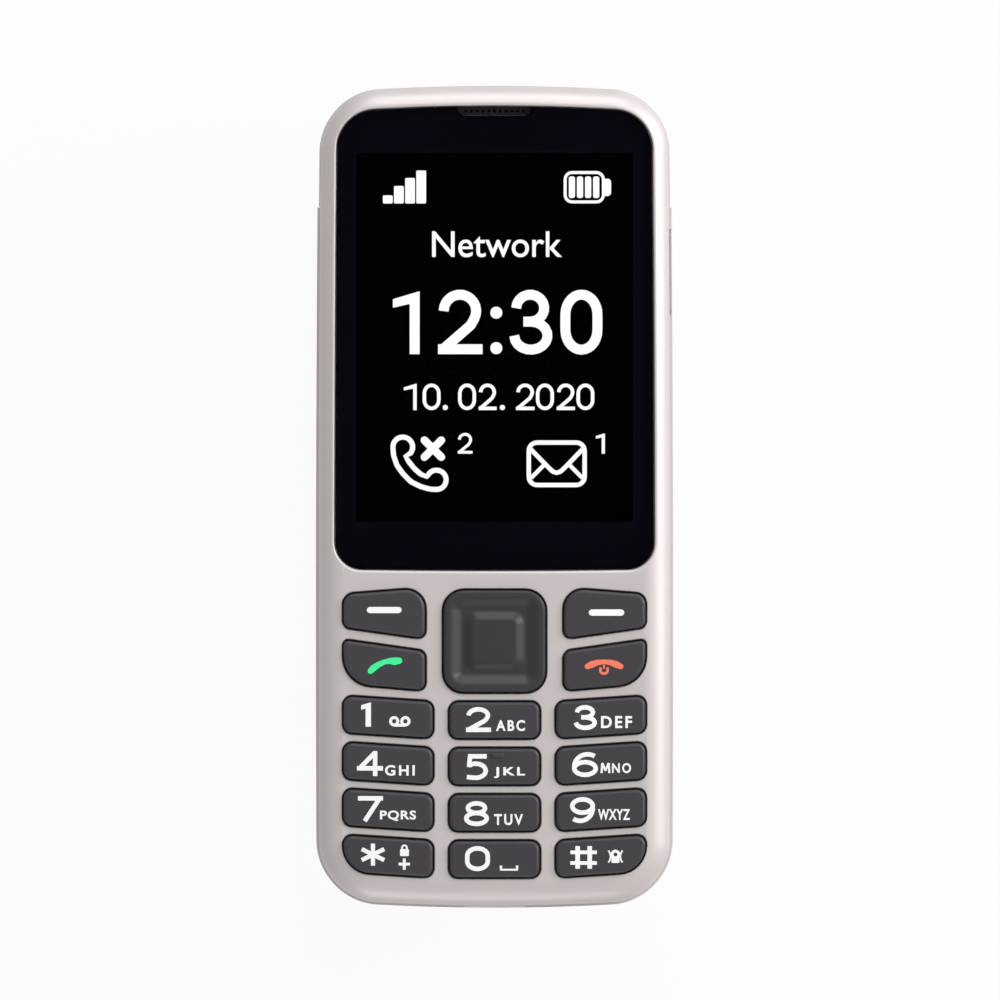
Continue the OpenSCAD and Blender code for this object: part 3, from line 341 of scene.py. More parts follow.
def openEdit(obj, kind, test):
    # Edit mode with the chosen points, edges or faces picked
    makeActive(obj)
    mesh = obj.data
    for group in (mesh.vertices, mesh.edges, mesh.polygons):
        group.foreach_set("select", [False] * len(group))
    chosen = {"VERT": mesh.vertices, "EDGE": mesh.edges, "FACE": mesh.polygons}[kind]
    for item in chosen:
        item.select = bool(test(item))
    bpy.context.tool_settings.mesh_select_mode = (kind == "VERT", kind == "EDGE", kind == "FACE")
    bpy.ops.object.mode_set(mode="EDIT")


def openAll(obj):
    openEdit(obj, "FACE", lambda face: True)


def closeEdit():
    bpy.ops.object.mode_set(mode="OBJECT")


def isTop(face):
    return face.normal.z > flatEnough


def isFoot(face):
    return face.normal.z < -flatEnough


def drawIn(corners, inset):
    # The corners of a convex outline whose sides all move inwards
    moved = []
    for i, here in enumerate(corners):
        before = (here - corners[i - 1]).normalized()
        after = (corners[(i + 1) % len(corners)] - here).normalized()
        sideA = Vector((-before.y, before.x))
        sideB = Vector((-after.y, after.x))
        moved.append(here + (sideA + sideB) * inset / (1 + sideA.dot(sideB)))
    return moved


def addPlate(name, corners, radii, z, inset=0.0, segments=8, smallest=0.15 * mm):
    # A flat plate with four corners, each rounded by its own radius
    deselectAll()
    places = drawIn(corners, inset)
    bpy.ops.mesh.primitive_plane_add(size=1)
    obj = bpy.context.object
    obj.name = name
    for index, place in zip((0, 1, 3, 2), places):
        obj.data.vertices[index].co = (place.x, place.y, z)
    for i, place in enumerate(places):
        toBefore = places[i - 1] - place
        toAfter = places[(i + 1) % 4] - place
        tangent = max(radii[i] - inset, smallest) / math.tan(toBefore.angle(toAfter) / 2)
        corner = Vector((place.x, place.y, z))
        openEdit(obj, "VERT", lambda point: (point.co - corner).length < samePlace)
        bpy.ops.mesh.bevel(offset_type="OFFSET", offset=tangent, segments=segments, profile=0.5,
                           affect="VERTICES", clamp_overlap=False)
        closeEdit()
    return obj


def boxCorners(x0, y0, x1, y1):
    return [Vector((x0, y0)), Vector((x1, y0)), Vector((x1, y1)), Vector((x0, y1))]


def pixelCorners(x0, y0, x1, y1):
    low, high = photoPlace(x0, y1), photoPlace(x1, y0)
    return boxCorners(low.x, low.y, high.x, high.y)


def raiseFace(distance):
    bpy.ops.mesh.extrude_region_move(TRANSFORM_OT_translate={"value": (0, 0, distance)})


def rollIn(width, height, steps, hollow=False):
    # The picked end face is drawn in along a quarter round, hollow or full
    for i in range(steps):
        a, b = (math.pi / 2 * k / steps for k in (i, i + 1))
        if hollow:
            wide, high = math.sin(b) - math.sin(a), math.cos(a) - math.cos(b)
        else:
            wide, high = math.cos(a) - math.cos(b), math.sin(b) - math.sin(a)
        bpy.ops.mesh.inset(thickness=width * wide, depth=height * high)


def slopeIn(width, height, steps):
    # The picked face sinks or rises along a soft S
    for i in range(steps):
        a, b = (k / steps for k in (i, i + 1))
        soft = [t * t * (3 - 2 * t) for t in (a, b)]
        bpy.ops.mesh.inset(thickness=width / steps, depth=height * (soft[1] - soft[0]))


def raisePlate(plate, height, wide=0, high=0, steps=0):
    # A block, whose upper edge may be rolled in
    openAll(plate)
    raiseFace(height)
    rollIn(wide, high, steps)
    closeEdit()
    return plate


def slicePlane(obj, place, way, **settings):
    openAll(obj)
    bpy.ops.mesh.bisect(plane_co=place, plane_no=way, **settings)
    closeEdit()


def keepSide(obj, y, above):
    slicePlane(obj, (0, y, 0), (0, 1, 0), use_fill=True, clear_inner=above, clear_outer=not above)


def applyAll(obj):
    makeActive(obj)
    for modifier in list(obj.modifiers):
        bpy.ops.object.modifier_apply(modifier=modifier.name)


def cutAway(obj, cutter):
    tool = obj.modifiers.new("cut", "BOOLEAN")
    tool.operation = "DIFFERENCE"
    tool.solver = "EXACT"
    tool.object = cutter
    applyAll(obj)
    bpy.data.objects.remove(cutter)


def joinAll(name, parts):
    deselectAll()
    for part in parts:
        part.select_set(True)
    bpy.context.view_layer.objects.active = parts[0]
    if len(parts) > 1:
        bpy.ops.object.join()
    joined = bpy.context.object
    joined.name = name
    return joined


def setMaterial(mesh, material):
    mesh.materials.clear()
    mesh.materials.append(material)


def finishPiece(obj, material, body, nodes=(), kind="shell"):
    if material:
        setMaterial(obj.data, material)
    makeActive(obj)
    bpy.ops.object.shade_smooth_by_angle(angle=math.radians(smoothBelow[kind]))
    tool = obj.modifiers.new("normals", "WEIGHTED_NORMAL")
    tool.keep_sharp = True
    applyAll(obj)
    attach(obj, body)
    if nodes:
        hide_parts(*nodes)


def solidBlock(name, corners, radii, z0, z1, segments=8):
    return raisePlate(addPlate(name, corners, radii, z0, segments=segments), z1 - z0)


def boxTool(x0, y0, z0, x1, y1, z1, radius=0.2 * mm):
    return solidBlock("tool", boxCorners(x0, y0, x1, y1), [radius] * 4, z0, z1, 4)


def addRod(place, radius, length, axis="Z", sides=48):
    deselectAll()
    turn = (0, 0, 0) if axis == "Z" else (math.pi / 2, 0, 0)
    bpy.ops.mesh.primitive_cylinder_add(vertices=sides, radius=radius, depth=length, location=place,
                                        rotation=turn)
    bpy.ops.object.transform_apply(location=True, rotation=True, scale=True)
    return bpy.context.object


# Body outline: a rounded rectangle whose ends and sides are bowed a little

body = lengths(
    top=64.5, foot=-64.5, cornerR=9.4, endR=340.0, sideR=9000.0, belly=-20.0, longEdge=5.0, frontInset=0.45,
    capInset=0.25, wall=1.2, splitY=45.3, faceThickness=1.6,
) | {
    "width": 2 * cadBox[1].x, "frontRoll": (4.2 * mm, 3.0 * mm), "backRoll": (5.0 * mm, 4.5 * mm),
    "cornerSteps": 20, "bowCuts": 23, "rollSteps": 14, "innerSteps": 8,
}


def bowed(obj, topR, footR):
    def isLong(edge):
        start, end = (obj.data.vertices[i].co for i in edge.vertices)
        return (start - end).length > body["longEdge"]

    openEdit(obj, "EDGE", isLong)
    bpy.ops.mesh.subdivide(number_cuts=body["bowCuts"])
    closeEdit()
    for point in obj.data.vertices:
        x, y = point.co.x, point.co.y
        endR = topR if y > 0 else footR
        point.co.y -= math.copysign(x * x / (2 * endR), y)
        point.co.x -= math.copysign((y - body["belly"]) ** 2 / (2 * body["sideR"]), x)
    return obj


def bodyPlate(name, z, inset):
    half = body["width"] / 2
    corners = boxCorners(-half, body["foot"], half, body["top"])
    plate = addPlate(name, corners, [body["cornerR"]] * 4, z, inset, body["cornerSteps"])
    return bowed(plate, body["endR"], body["endR"])


lens = lengths(
    half=24.9, top=60.9, foot=-11.6, topR=5.6, footR=4.1, gap=0.1, bevel=0.14, lip=0.5, under=0.15, lift=0.02,
    activeHalf=21.6, activeTop=53.6, activeFoot=-4.0, margin=0.8, windowR=0.5, slotHead=6.3, slotFoot=5.3,
    slotDepth=1.5, slotHeadR=0.3, slotFootR=1.0, portInset=0.5, portRim=0.2,
) | {"cornerSteps": 14, "footBow": 4, "bevelSteps": 3, "lipSteps": 5, "printBelow": 0.05}


def faceDrop(x, y):
    # How far the rolled edge lies below the flat of the face, at a place
    wide, high = body["frontRoll"]
    sideways = abs(x) + (y - body["belly"]) ** 2 / (2 * body["sideR"])
    endways = abs(y) + x * x / (2 * body["endR"])
    half, radius = body["width"] / 2, body["cornerR"]
    beyond = Vector((max(sideways - half + radius, 0), max(endways - body["top"] + radius, 0)))
    inside = min(radius - beyond.length, half - sideways, body["top"] - endways) - body["frontInset"]
    share = min(max(1 - inside / wide, 0), 1)
    return high * (1 - math.sqrt(1 - share * share))


def lensPlate(name, z, inset):
    corners = boxCorners(-lens["half"], lens["foot"], lens["half"], lens["top"])
    radii = [lens["footR"], lens["footR"], lens["topR"], lens["topR"]]
    plate = addPlate(name, corners, radii, z, inset, lens["cornerSteps"])
    return bowed(plate, body["endR"], lens["footBow"] * body["endR"])


# Key outlines, from the same few sizes as the openings

keypad = lengths(
    half=23.83, besideNav=10.62, besideMiddle=9.4, middleHalf=7.27, navTop=-14.5, navY=-22.7, navFoot=-30.9,
    navHalf=8.2, navR=3.4, softRise=0.36, softFall=1.02, webDrop=0.62, webRise=1.87, webHalf=0.77,
    callRise=0.27, callTilt=1.13, numberDrop=1.05, numberHigh=6.15, rowGap=1.09, numberR=1.6, footR=4.5,
    softR=3.3, webR=1.4, shoulderR=1.9, callR=4.8, gap=0.27, flangeLip=0.3, flangeThick=0.6, rim=0.2,
) | {"slope": 0.065, "webEndShare": 0.7, "lastRow": 3, "rimSteps": 3}

# Form, row and side of each key
keyForms = {
    "soft_key_left": ("soft", 0, -1), "soft_key_right": ("soft", 0, 1),
    "call_key": ("call", 0, -1), "end_key": ("call", 0, 1),
}
for tier, labels in enumerate(("123", "456", "789", ("star", "0", "hash"))):
    for hand, label in zip((-1, 0, 1), labels):
        keyForms["key_" + label] = ("side" if hand else "middle", tier, hand)


def rowFoot(row):
    k = keypad
    middle = k["navFoot"] - k["numberDrop"] - k["numberHigh"] / 2 - row * (k["numberHigh"] + k["rowGap"])
    return middle - k["numberHigh"] / 2


def webY(share):
    return keypad["navY"] - keypad["webDrop"] + keypad["webRise"] * share


def keyOutline(name):
    # Corners and radii, counter-clockwise from the lower left
    k = keypad
    form, row, side = keyForms[name]
    low = rowFoot(row)
    if form == "soft":
        points = [(-k["half"], webY(1) + k["webHalf"]), (-k["besideNav"], webY(0) + k["webHalf"]),
                  (-k["besideNav"], k["navTop"] + k["softRise"]),
                  (-k["half"], k["navTop"] + k["softRise"] - k["softFall"])]
        radii = [k["webR"], k["webR"], k["softR"], k["shoulderR"]]
    elif form == "call":
        points = [(-k["half"], k["navFoot"] + k["callRise"] + k["callTilt"]),
                  (-k["besideNav"], k["navFoot"] + k["callRise"]),
                  (-k["besideNav"], webY(0) - k["webHalf"]), (-k["half"], webY(1) - k["webHalf"])]
        radii = [k["callR"], k["webR"], k["webR"], k["webEndShare"] * k["webR"]]
    elif form == "side":
        rise = k["slope"] * (k["half"] - k["besideMiddle"])
        points = [(-k["half"], low + rise), (-k["besideMiddle"], low),
                  (-k["besideMiddle"], low + k["numberHigh"]), (-k["half"], low + rise + k["numberHigh"])]
        radii = [k["footR"] if row == k["lastRow"] else k["numberR"]] + [k["numberR"]] * 3
    else:
        points = boxCorners(-k["middleHalf"], low, k["middleHalf"], low + k["numberHigh"])
        radii = [k["numberR"]] * 4
    points = [Vector(p) for p in points]
    if side > 0:
        points = [Vector((-p.x, p.y)) for p in (points[1], points[0], points[3], points[2])]
        radii = [radii[1], radii[0], radii[3], radii[2]]
    return points, radii


def navOutline():
    k = keypad
    return boxCorners(-k["navHalf"], k["navFoot"], k["navHalf"], k["navTop"]), [k["navR"]] * 4


# Front housing

usb = lengths(half=4.77, low=5.39, top=9.25, deep=3.6, lipHigh=0.5, lipRound=0.3, lipInset=0.03, lipEnd=-63.2,
              soundX=9.0, soundZ=10.6, soundR=0.4) | {"lipSteps": 4}


def lipCutter(plate, lip, steps, depth):
    # Cuts an opening whose upper edge is rounded
    raisePlate(plate, 2 * spare)
    openEdit(plate, "FACE", isFoot)
    rollIn(lip, lip, steps, hollow=True)
    raiseFace(-depth)
    closeEdit()
    return plate


def keyCutter(corners, radii):
    rim = keypad["rim"]
    plate = addPlate("opening", corners, radii, level["face"], -rim)
    return lipCutter(plate, rim, keypad["rimSteps"], 3 * spare)


def lensCutter():
    lip, face, hair = lens["lip"], level["face"], 0.01 * mm
    plate = lensPlate("lensCutter", face, -lens["gap"] - lip)
    cutter = lipCutter(plate, lip, lens["lipSteps"], face - level["lensFoot"] - lip + lens["under"])
    for point in cutter.data.vertices:  # the lip follows the rolled edge
        if face - lip - hair < point.co.z < face + hair:
            point.co.z -= faceDrop(point.co.x, point.co.y)
    return cutter


def usbLip():
    # A flush ledge over the charging socket, where the cover is cut away
    lip = bodyPlate("lip", usb["top"], usb["lipInset"])
    raisePlate(lip, usb["lipHigh"], usb["lipRound"], usb["lipRound"], usb["lipSteps"])
    for side in (1, -1):
        slicePlane(lip, (side * usb["half"], 0, 0), (side, 0, 0), use_fill=True, clear_outer=True)
    keepSide(lip, usb["lipEnd"], False)
    return lip


def makeFrontHousing():
    shell = bodyPlate("front_shell", level["parting"], body["frontInset"])
    wide, high = body["frontRoll"]
    raisePlate(shell, level["face"] - level["parting"] - high, wide, high, body["rollSteps"])
    openEdit(shell, "FACE", isFoot)  # hollow inside
    bpy.ops.mesh.inset(thickness=body["wall"], depth=0)
    raiseFace(level["face"] - body["faceThickness"] - level["parting"])
    closeEdit()
    cutAway(shell, lensCutter())
    margin = lens["margin"]
    window = boxCorners(-lens["activeHalf"] - margin, lens["activeFoot"] - margin,
                        lens["activeHalf"] + margin, lens["activeTop"] + margin)
    cutAway(shell, solidBlock("window", window, [lens["windowR"]] * 4, level["parting"], level["face"], 4))
    port, rim = lens["slotFoot"] - lens["portInset"], lens["portRim"]  # sound way under the earpiece slot
    cutAway(shell, boxTool(-port, lens["top"] - lens["slotDepth"] + rim, level["parting"],
                           port, lens["top"] - rim, level["face"]))
    openings = [keyCutter(*keyOutline(name)) for name in keyForms] + [keyCutter(*navOutline())]
    cutAway(shell, joinAll("openings", openings))
    cutAway(shell, boxTool(-usb["half"], body["foot"] - spare, level["parting"] - spare,
                           usb["half"], body["foot"] + usb["deep"], usb["top"]))
    cutAway(shell, addRod((usb["soundX"], body["foot"], usb["soundZ"]), usb["soundR"], 5 * spare, "Y"))
    shell = joinAll("front_shell", [shell, usbLip()])
    finishPiece(shell, silverPaint, "phone", ["front_housing"])
    print("front housing ready")


# Lens with a black print behind it

def makeLens():
    foot = level["lensFoot"] + lens["lift"]  # clear of the adhesive
    glass = lensPlate("lens", foot, 0)
    bevel = lens["bevel"]
    raisePlate(glass, level["lensFace"] - foot - bevel, bevel, bevel, lens["bevelSteps"])
    low, high = lens["top"] - lens["slotDepth"], lens["top"] + spare
    slot = [Vector(p) for p in ((-lens["slotFoot"], low), (lens["slotFoot"], low),
                                (lens["slotHead"], high), (-lens["slotHead"], high))]
    radii = [lens["slotFootR"]] * 2 + [lens["slotHeadR"]] * 2
    cutAway(glass, solidBlock("slot", slot, radii, level["lensFoot"] - spare, level["lensFace"] + spare))
    half, head, tail = lens["activeHalf"], lens["activeTop"], lens["activeFoot"]
    for x in (half, -half):
        slicePlane(glass, (x, 0, 0), (1, 0, 0))
    for y in (head, tail):
        slicePlane(glass, (0, y, 0), (0, 1, 0))
    glass.data.materials.append(lensGlass)
    glass.data.materials.append(blackPrint)
    for face in glass.data.polygons:
        inWindow = abs(face.center.x) < half and tail < face.center.y < head
        printed = face.normal.z < lens["printBelow"] and not (isFoot(face) and inWindow)
        face.material_index = 1 if printed else 0
    finishPiece(glass, None, "phone", ["display_lens"])
    print("lens ready")


# Flat marks: words, strokes and plates, laid on a surface; places and widths in pixels of the photo

mark = lengths(thick=0.02, sink=0.008, step=0.0015) | {
    "levels": 8, "laid": 0, "hair": 1e-7, "wordThick": 0.02, "wordSteps": 6, "strokeSteps": 3,
    "ringSteps": 20, "discRound": 0.98, "endTurns": (30, 55, 75, 86),
}


def layMark(obj, z):
    # Flattens a mark and lays it on a height, a hair above or below the one before
    heights = [point.co.z for point in obj.data.vertices]
    middle = (min(heights) + max(heights)) / 2 - mark["hair"]
    mark["laid"] += 1
    top = z + mark["thick"] - mark["sink"] + mark["laid"] % mark["levels"] * mark["step"]
    for point in obj.data.vertices:
        point.co.z = top if point.co.z > middle else z - mark["sink"]
    return obj


def fitMark(obj, x0, y0, x1, y1):
    # Stretches a mark to a box
    low, high = photoPlace(x0, y1), photoPlace(x1, y0)
    xs = [point.co.x for point in obj.data.vertices]
    ys = [point.co.y for point in obj.data.vertices]
    for point in obj.data.vertices:
        point.co.x = low.x + (point.co.x - min(xs)) / (max(xs) - min(xs)) * (high.x - low.x)
        point.co.y = low.y + (point.co.y - min(ys)) / (max(ys) - min(ys)) * (high.y - low.y)
    return obj


def wordMark(text, box, z, weight, spread=1.0):
    deselectAll()
    bpy.ops.object.text_add()
    word = bpy.context.object
    word.data.body = text
    word.data.offset = weight
    word.data.extrude = mark["wordThick"]
    word.data.space_character = spread
    word.data.resolution_u = mark["wordSteps"]
    bpy.ops.object.convert(target="MESH")
    return layMark(fitMark(bpy.context.object, *box), z)


def widthShare(point):
    # A point's third number, where there is one, scales the line's width
    return point[2] if len(point) > 2 else 1.0


def roundEnd(last, before, width):
    # Extra points that round off the end of a line
    scale = widthShare(last)
    way = Vector((last[0] - before[0], last[1] - before[1])).normalized() * width / 2 * scale
    turns = [math.radians(a) for a in mark["endTurns"]]
    return [(last[0] + way.x * math.sin(a), last[1] + way.y * math.sin(a), scale * math.cos(a)) for a in turns]


def drawCurve(name, points, closed, settings):
    deselectAll()
    curve = bpy.data.curves.new(name, "CURVE")
    for key, value in settings.items():
        setattr(curve, key, value)
    line = curve.splines.new("POLY")
    line.points.add(len(points) - 1)
    line.use_cyclic_u = closed
    for node, given in zip(line.points, points):
        place = photoPlace(given[0], given[1])
        node.co = (place.x, place.y, 0, 1)
        node.radius = widthShare(given)
    obj = bpy.data.objects.new(name, curve)
    bpy.context.scene.collection.objects.link(obj)
    makeActive(obj)
    bpy.ops.object.convert(target="MESH")
    return bpy.context.object


def strokeMark(points, width, z, closed=False, soft=False):
    if soft:
        points = (roundEnd(points[0], points[1], width)[::-1] + list(points)
                  + roundEnd(points[-1], points[-2], width))
    settings = {"dimensions": "3D", "bevel_depth": fromPixels(width) / 2,
                "bevel_resolution": mark["strokeSteps"], "use_fill_caps": True}
    return layMark(drawCurve("stroke", points, closed, settings), z)


def shapeMark(points, z):
    # A filled shape
    settings = {"dimensions": "2D", "fill_mode": "BOTH", "extrude": mark["thick"]}
    return layMark(drawCurve("shape", points, True, settings), z)


def ovalPoints(cx, cy, rx, ry, start, end, count=14):
    turns = [math.radians(start + (end - start) * i / count) for i in range(count + 1)]
    return [(cx + rx * math.cos(a), cy + ry * math.sin(a)) for a in turns]


def arcPoints(cx, cy, r, start, end, count=16):
    # Counter-clockwise in the photo, where y counts downwards
    return ovalPoints(cx, cy, r, -r, start, end, count)


def roundBox(x0, y0, x1, y1, r, count):
    return (arcPoints(x1 - r, y0 + r, r, 90, 0, count) + arcPoints(x1 - r, y1 - r, r, 0, -90, count)
            + arcPoints(x0 + r, y1 - r, r, -90, -180, count) + arcPoints(x0 + r, y0 + r, r, 180, 90, count))


def plateMark(x0, y0, x1, y1, radius, z):
    corners = pixelCorners(x0, y0, x1, y1)
    return layMark(solidBlock("plate", corners, [fromPixels(radius)] * 4, 0, mark["thick"], 4), z)


def discMark(cx, cy, r, z):
    return plateMark(cx - r, cy - r, cx + r, cy + r, mark["discRound"] * r, z)


def ringMark(cx, cy, r, width, z):
    count = mark["ringSteps"]
    return strokeMark(arcPoints(cx, cy, r, 0, 360 - 360 / count, count - 1), width, z, True)


def digitPaths(digit, kx, ky):
    # Centre lines of a digit in a unit box, and whether they close; kx and ky reach to the box's edge
    arc = ovalPoints
    ring = arc(0.5, 0.31, 0.5, 0.31, 0, 345, 23)
    tail = arc(0.62, 0.40, 0.62, 0.60, 180, 58)
    return {
        "0": [(arc(0.5, 0.64, 0.5, 0.36, 0, 180) + arc(0.5, 0.36, 0.5, 0.36, 180, 360), True)],
        "2": [(arc(0.49, 0.70, 0.47, 0.30, 180, -28) + [(0.80, 0.44), (0.04, 0.02)], False),
              ([(-kx, 0), (1 + kx, 0)], False)],
        "3": [(arc(0.47, 0.755, 0.43, 0.245, 180, -90) + [(0.26, 0.51)], False),
              ([(0.30, 0.51)] + arc(0.49, 0.255, 0.51, 0.255, 90, -180), False)],
        "4": [([(0.74, -ky), (0.74, 1 + ky)], False), ([(0.70, 1), (0.02, 0.27)], False),
              ([(-kx, 0.27), (1 + kx, 0.27)], False)],
        "5": [([(0.93 + kx, 1), (0.16 - kx, 1)], False), ([(0.15, 1), (0.10, 0.50)], False),
              (arc(0.46, 0.33, 0.54, 0.33, 132, -100) + [(-0.02, 0.04)], False)],
        "6": [(ring, True), (tail, False)],
        "7": [([(-kx, 1), (1 + kx, 1)], False), ([(0.95, 1), (0.22, -ky)], False)],
        "8": [(arc(0.5, 0.765, 0.42, 0.235, 0, 345, 23), True),
              (arc(0.5, 0.265, 0.5, 0.265, 0, 345, 23), True)],
        "9": [([(1 - x, 1 - y) for x, y in ring], True), ([(1 - x, 1 - y) for x, y in tail], False)],
    }[digit]


one = {"rise": 0.30, "underRise": 0.53, "flagThick": 0.86}  # shares of the digit's width and of its stroke's


def digitMark(digit, box, width, z):
    # A digit of even strokes that fills a box
    x0, y0, x1, y1 = box
    if digit == "1":
        rise, stem, thick = one["rise"] * (x1 - x0), x1 - width, one["flagThick"] * width
        return [shapeMark([(stem, y1), (stem, y0 + one["underRise"] * rise + thick), (x0, y0 + rise + thick),
                           (x0, y0 + rise), (x1, y0), (x1, y1)], z)]
    wide, high = x1 - x0 - width, y1 - y0 - width
    marks = []
    for path, closed in digitPaths(digit, width / 2 / wide, width / 2 / high):
        points = [(x0 + width / 2 + x * wide, y1 - width / 2 - y * high) for x, y in path]
        marks.append(strokeMark(points, width, z, closed))
    return marks


# What the display shows

screen = {
    "lift": 0.01 * mm, "word": "Network", "wordWeight": 0.006,
    "bars": ((382.8, 195.1), (393.9, 185.7), (405.1, 177.7), (416.2, 170.2)),
    "battery": (565.2, 172.2, 603.5, 201.6), "batteryLine": 3.0, "cells": 4, "cellPitch": 8.1,
    "time": (("1", (392.8, 291, 419.5, 354)), ("2", (438, 289.5, 482.5, 354)),
             ("3", (510, 289.5, 552.5, 354.5)), ("0", (560.5, 289.5, 602.5, 354.5))),
    "date": (("1", 403.7, 416.6), ("0", 422.5, 440.5), ("0", 458, 476), ("2", 478.6, 496.6),
             ("2", 516, 534.6), ("0", 536, 554), ("2", 556.8, 575), ("0", 576.5, 594.5)),
    "timeLine": 9.9, "dateLine": 3.5,
    "counts": (("2", (457.7, 432.8, 472.5, 453.6), 2.8), ("1", (596, 433.2, 605, 453.6), 3.2)),
    "outerSide": [(393.4, 455.2), (396.9, 465.3), (403.1, 473.9), (410.9, 481.7), (420.3, 486.4),
                  (429.7, 489.1)],
    "innerSide": [(426.6, 476.6), (420.3, 473.9), (414.1, 468.4), (408.6, 461.4), (405.5, 456.3)],
    "handsetLine": 5.0, "crossLine": 7.6, "envelopeLine": 4.4, "foldLine": 4.0,
    "flap": ((531, 449.4), (549, 467.9), (553, 471.6), (556.7, 472.8), (560.4, 471.6), (564.6, 467.9),
             (582.4, 449.4)),
}


def makeScreen():
    s = screen
    z = level["panelTop"] + s["lift"]
    marks = [plateMark(x, top, x + 9.8, 203.2, 1.2, z) for x, top in s["bars"]]
    marks.append(strokeMark(roundBox(*s["battery"], 7, 6), s["batteryLine"], z, True))
    marks.append(plateMark(602.6, 178.4, 611.2, 195.8, 3.6, z))
    for i in range(s["cells"]):
        x = 568.9 + s["cellPitch"] * i
        marks.append(plateMark(x, 176.1, x + 6.2, 197.7, 2.0, z))
    marks.append(wordMark(s["word"], (432, 231, 562, 257), z, s["wordWeight"]))
    for digit, box in s["time"]:
        marks += digitMark(digit, box, s["timeLine"], z)
    marks += [discMark(496.3, y, 6.0, z) for y in (312.5, 348)]
    for digit, x0, x1 in s["date"]:
        marks += digitMark(digit, (x0, 383.4, x1, 410), s["dateLine"], z)
    marks += [discMark(x, 407.4, 2.6, z) for x in (445.2, 502.4)]
    for digit, box, line in s["counts"]:
        marks += digitMark(digit, box, line, z)
    handset = (arcPoints(402.7, 446.9, 9.9, -40, 180, 18) + s["outerSide"]
               + arcPoints(436.4, 479.8, 9.7, -90, 150, 18) + s["innerSide"])
    marks.append(strokeMark(handset, s["handsetLine"], z, True))
    for turn in (8.4, -8.4):
        cross = [(432.8 - turn, 440.2), (432.8 + turn, 457)]
        marks.append(strokeMark(cross, s["crossLine"], z, soft=True))
    envelope = roundBox(528.8, 442.5, 584.7, 485, 8.5, 8)
    marks.append(strokeMark(envelope, s["envelopeLine"], z, True))
    marks.append(strokeMark(s["flap"], s["envelopeLine"], z))
    for fold in (((544.2, 464.8), (531, 478)), ((569.4, 464.8), (582.6, 478))):
        marks.append(strokeMark(fold, s["foldLine"], z))
    finishPiece(joinAll("screen_symbols", marks), screenGlow, "phone", kind="print")
    print("screen ready")


# Keys and their legends

keyShape = lengths(edgeWide=0.55, edgeHigh=0.45, stemR=1.2) | {"edgeSteps": 6, "stemSides": 24}
touch = lengths(r=0.3, sink=0.05, high=0.15, edge=0.2) | {
    "box": (491.5, 753, 504.5, 757.5), "steps": 6, "edgeSteps": 4}


def raiseCap(name, corners, radii, foot, top, shape, segments=8):
    # A flange and a rolled cap above it; edit mode stays open on the cap's top
    k = keypad
    key = addPlate(name, corners, radii, foot, -k["flangeLip"], segments)
    openAll(key)
    raiseFace(k["flangeThick"])
    bpy.ops.mesh.inset(thickness=k["flangeLip"] + k["gap"], depth=0)
    raiseFace(top - shape["edgeHigh"] - foot - k["flangeThick"])
    rollIn(shape["edgeWide"], shape["edgeHigh"], shape["edgeSteps"])
    return key


def makeKey(name):
    corners, radii = keyOutline(name)
    flange = level["face"] - body["faceThickness"] - seam - keypad["flangeThick"]
    key = raiseCap(name + "_cap", corners, radii, flange, level["keyTop"], keyShape)
    closeEdit()
    middle = sum(corners, Vector((0, 0))) / 4
    stem = addRod((middle.x, middle.y, (flange + level["keyFoot"]) / 2), keyShape["stemR"],
                  flange - level["keyFoot"], sides=keyShape["stemSides"])
    parts = [key, stem] + ([touchBar()] if name == "key_5" else [])
    finishPiece(joinAll(name + "_cap", parts), keyPlastic, name, [name], "key")


def touchBar():
    corners, foot = pixelCorners(*touch["box"]), level["keyTop"] - touch["sink"]
    bar = addPlate("bar", corners, [touch["r"]] * 4, foot, segments=touch["steps"])
    return raisePlate(bar, touch["high"], touch["edge"], touch["edge"], touch["edgeSteps"])


digits = {
    "key_1": (361.2, 702.2, 371, 726.6), "key_2": (466, 707, 491, 732), "key_3": (574, 705, 597, 730),
    "key_4": (357, 751, 383, 776), "key_5": (465, 754, 488, 780), "key_6": (572, 752, 598, 777),
    "key_7": (358, 796, 383, 821), "key_8": (464, 801, 489, 826), "key_9": (570, 797, 595, 823),
    "key_0": (465, 846, 490, 871),
}
letters = {
    "key_2": ("ABC", (496, 720, 525, 731)), "key_3": ("DEF", (601, 716, 632, 728)),
    "key_4": ("GHI", (385, 765, 414.8, 775.6)), "key_5": ("JKL", (494, 767, 525, 778)),
    "key_6": ("NO", (612, 763, 631, 773)), "key_7": ("PQRS", (380, 810.4, 416, 821)),
    "key_8": ("TUV", (494, 814, 523, 825)), "key_9": ("WXYZ", (598, 809, 630, 820)),
}
softLines = {
    "soft_key_left": (((370, 610), (398.5, 610)), 6.2),
    "soft_key_right": (((592, 612.5), (621, 612.5)), 6.4),
    "call_key": (((370.5, 671, 1.1), (373.5, 668, 1.3), (378.5, 664.6, 1.1), (384, 662.1, 0.95),
                  (389.5, 660.9, 1.1), (394.4, 661.3, 1.5), (399, 660.7, 1.25)), 5.2),
    "end_key": (((587.4, 666.4, 1.2), (591.6, 664.5, 1.5), (597, 662.5, 1.25), (604, 661.7, 1.0),
                 (611, 662.5, 1.25), (616.4, 664.5, 1.5), (620.8, 666.4, 1.2)), 4.5),
}
legendFinish = {"call_key": greenPrint, "end_key": redPrint}
letterStyle = {"digitLine": 4.5, "oneLine": 5.4, "weight": 0.028, "spread": 1.3, "longSpread": 1.12}


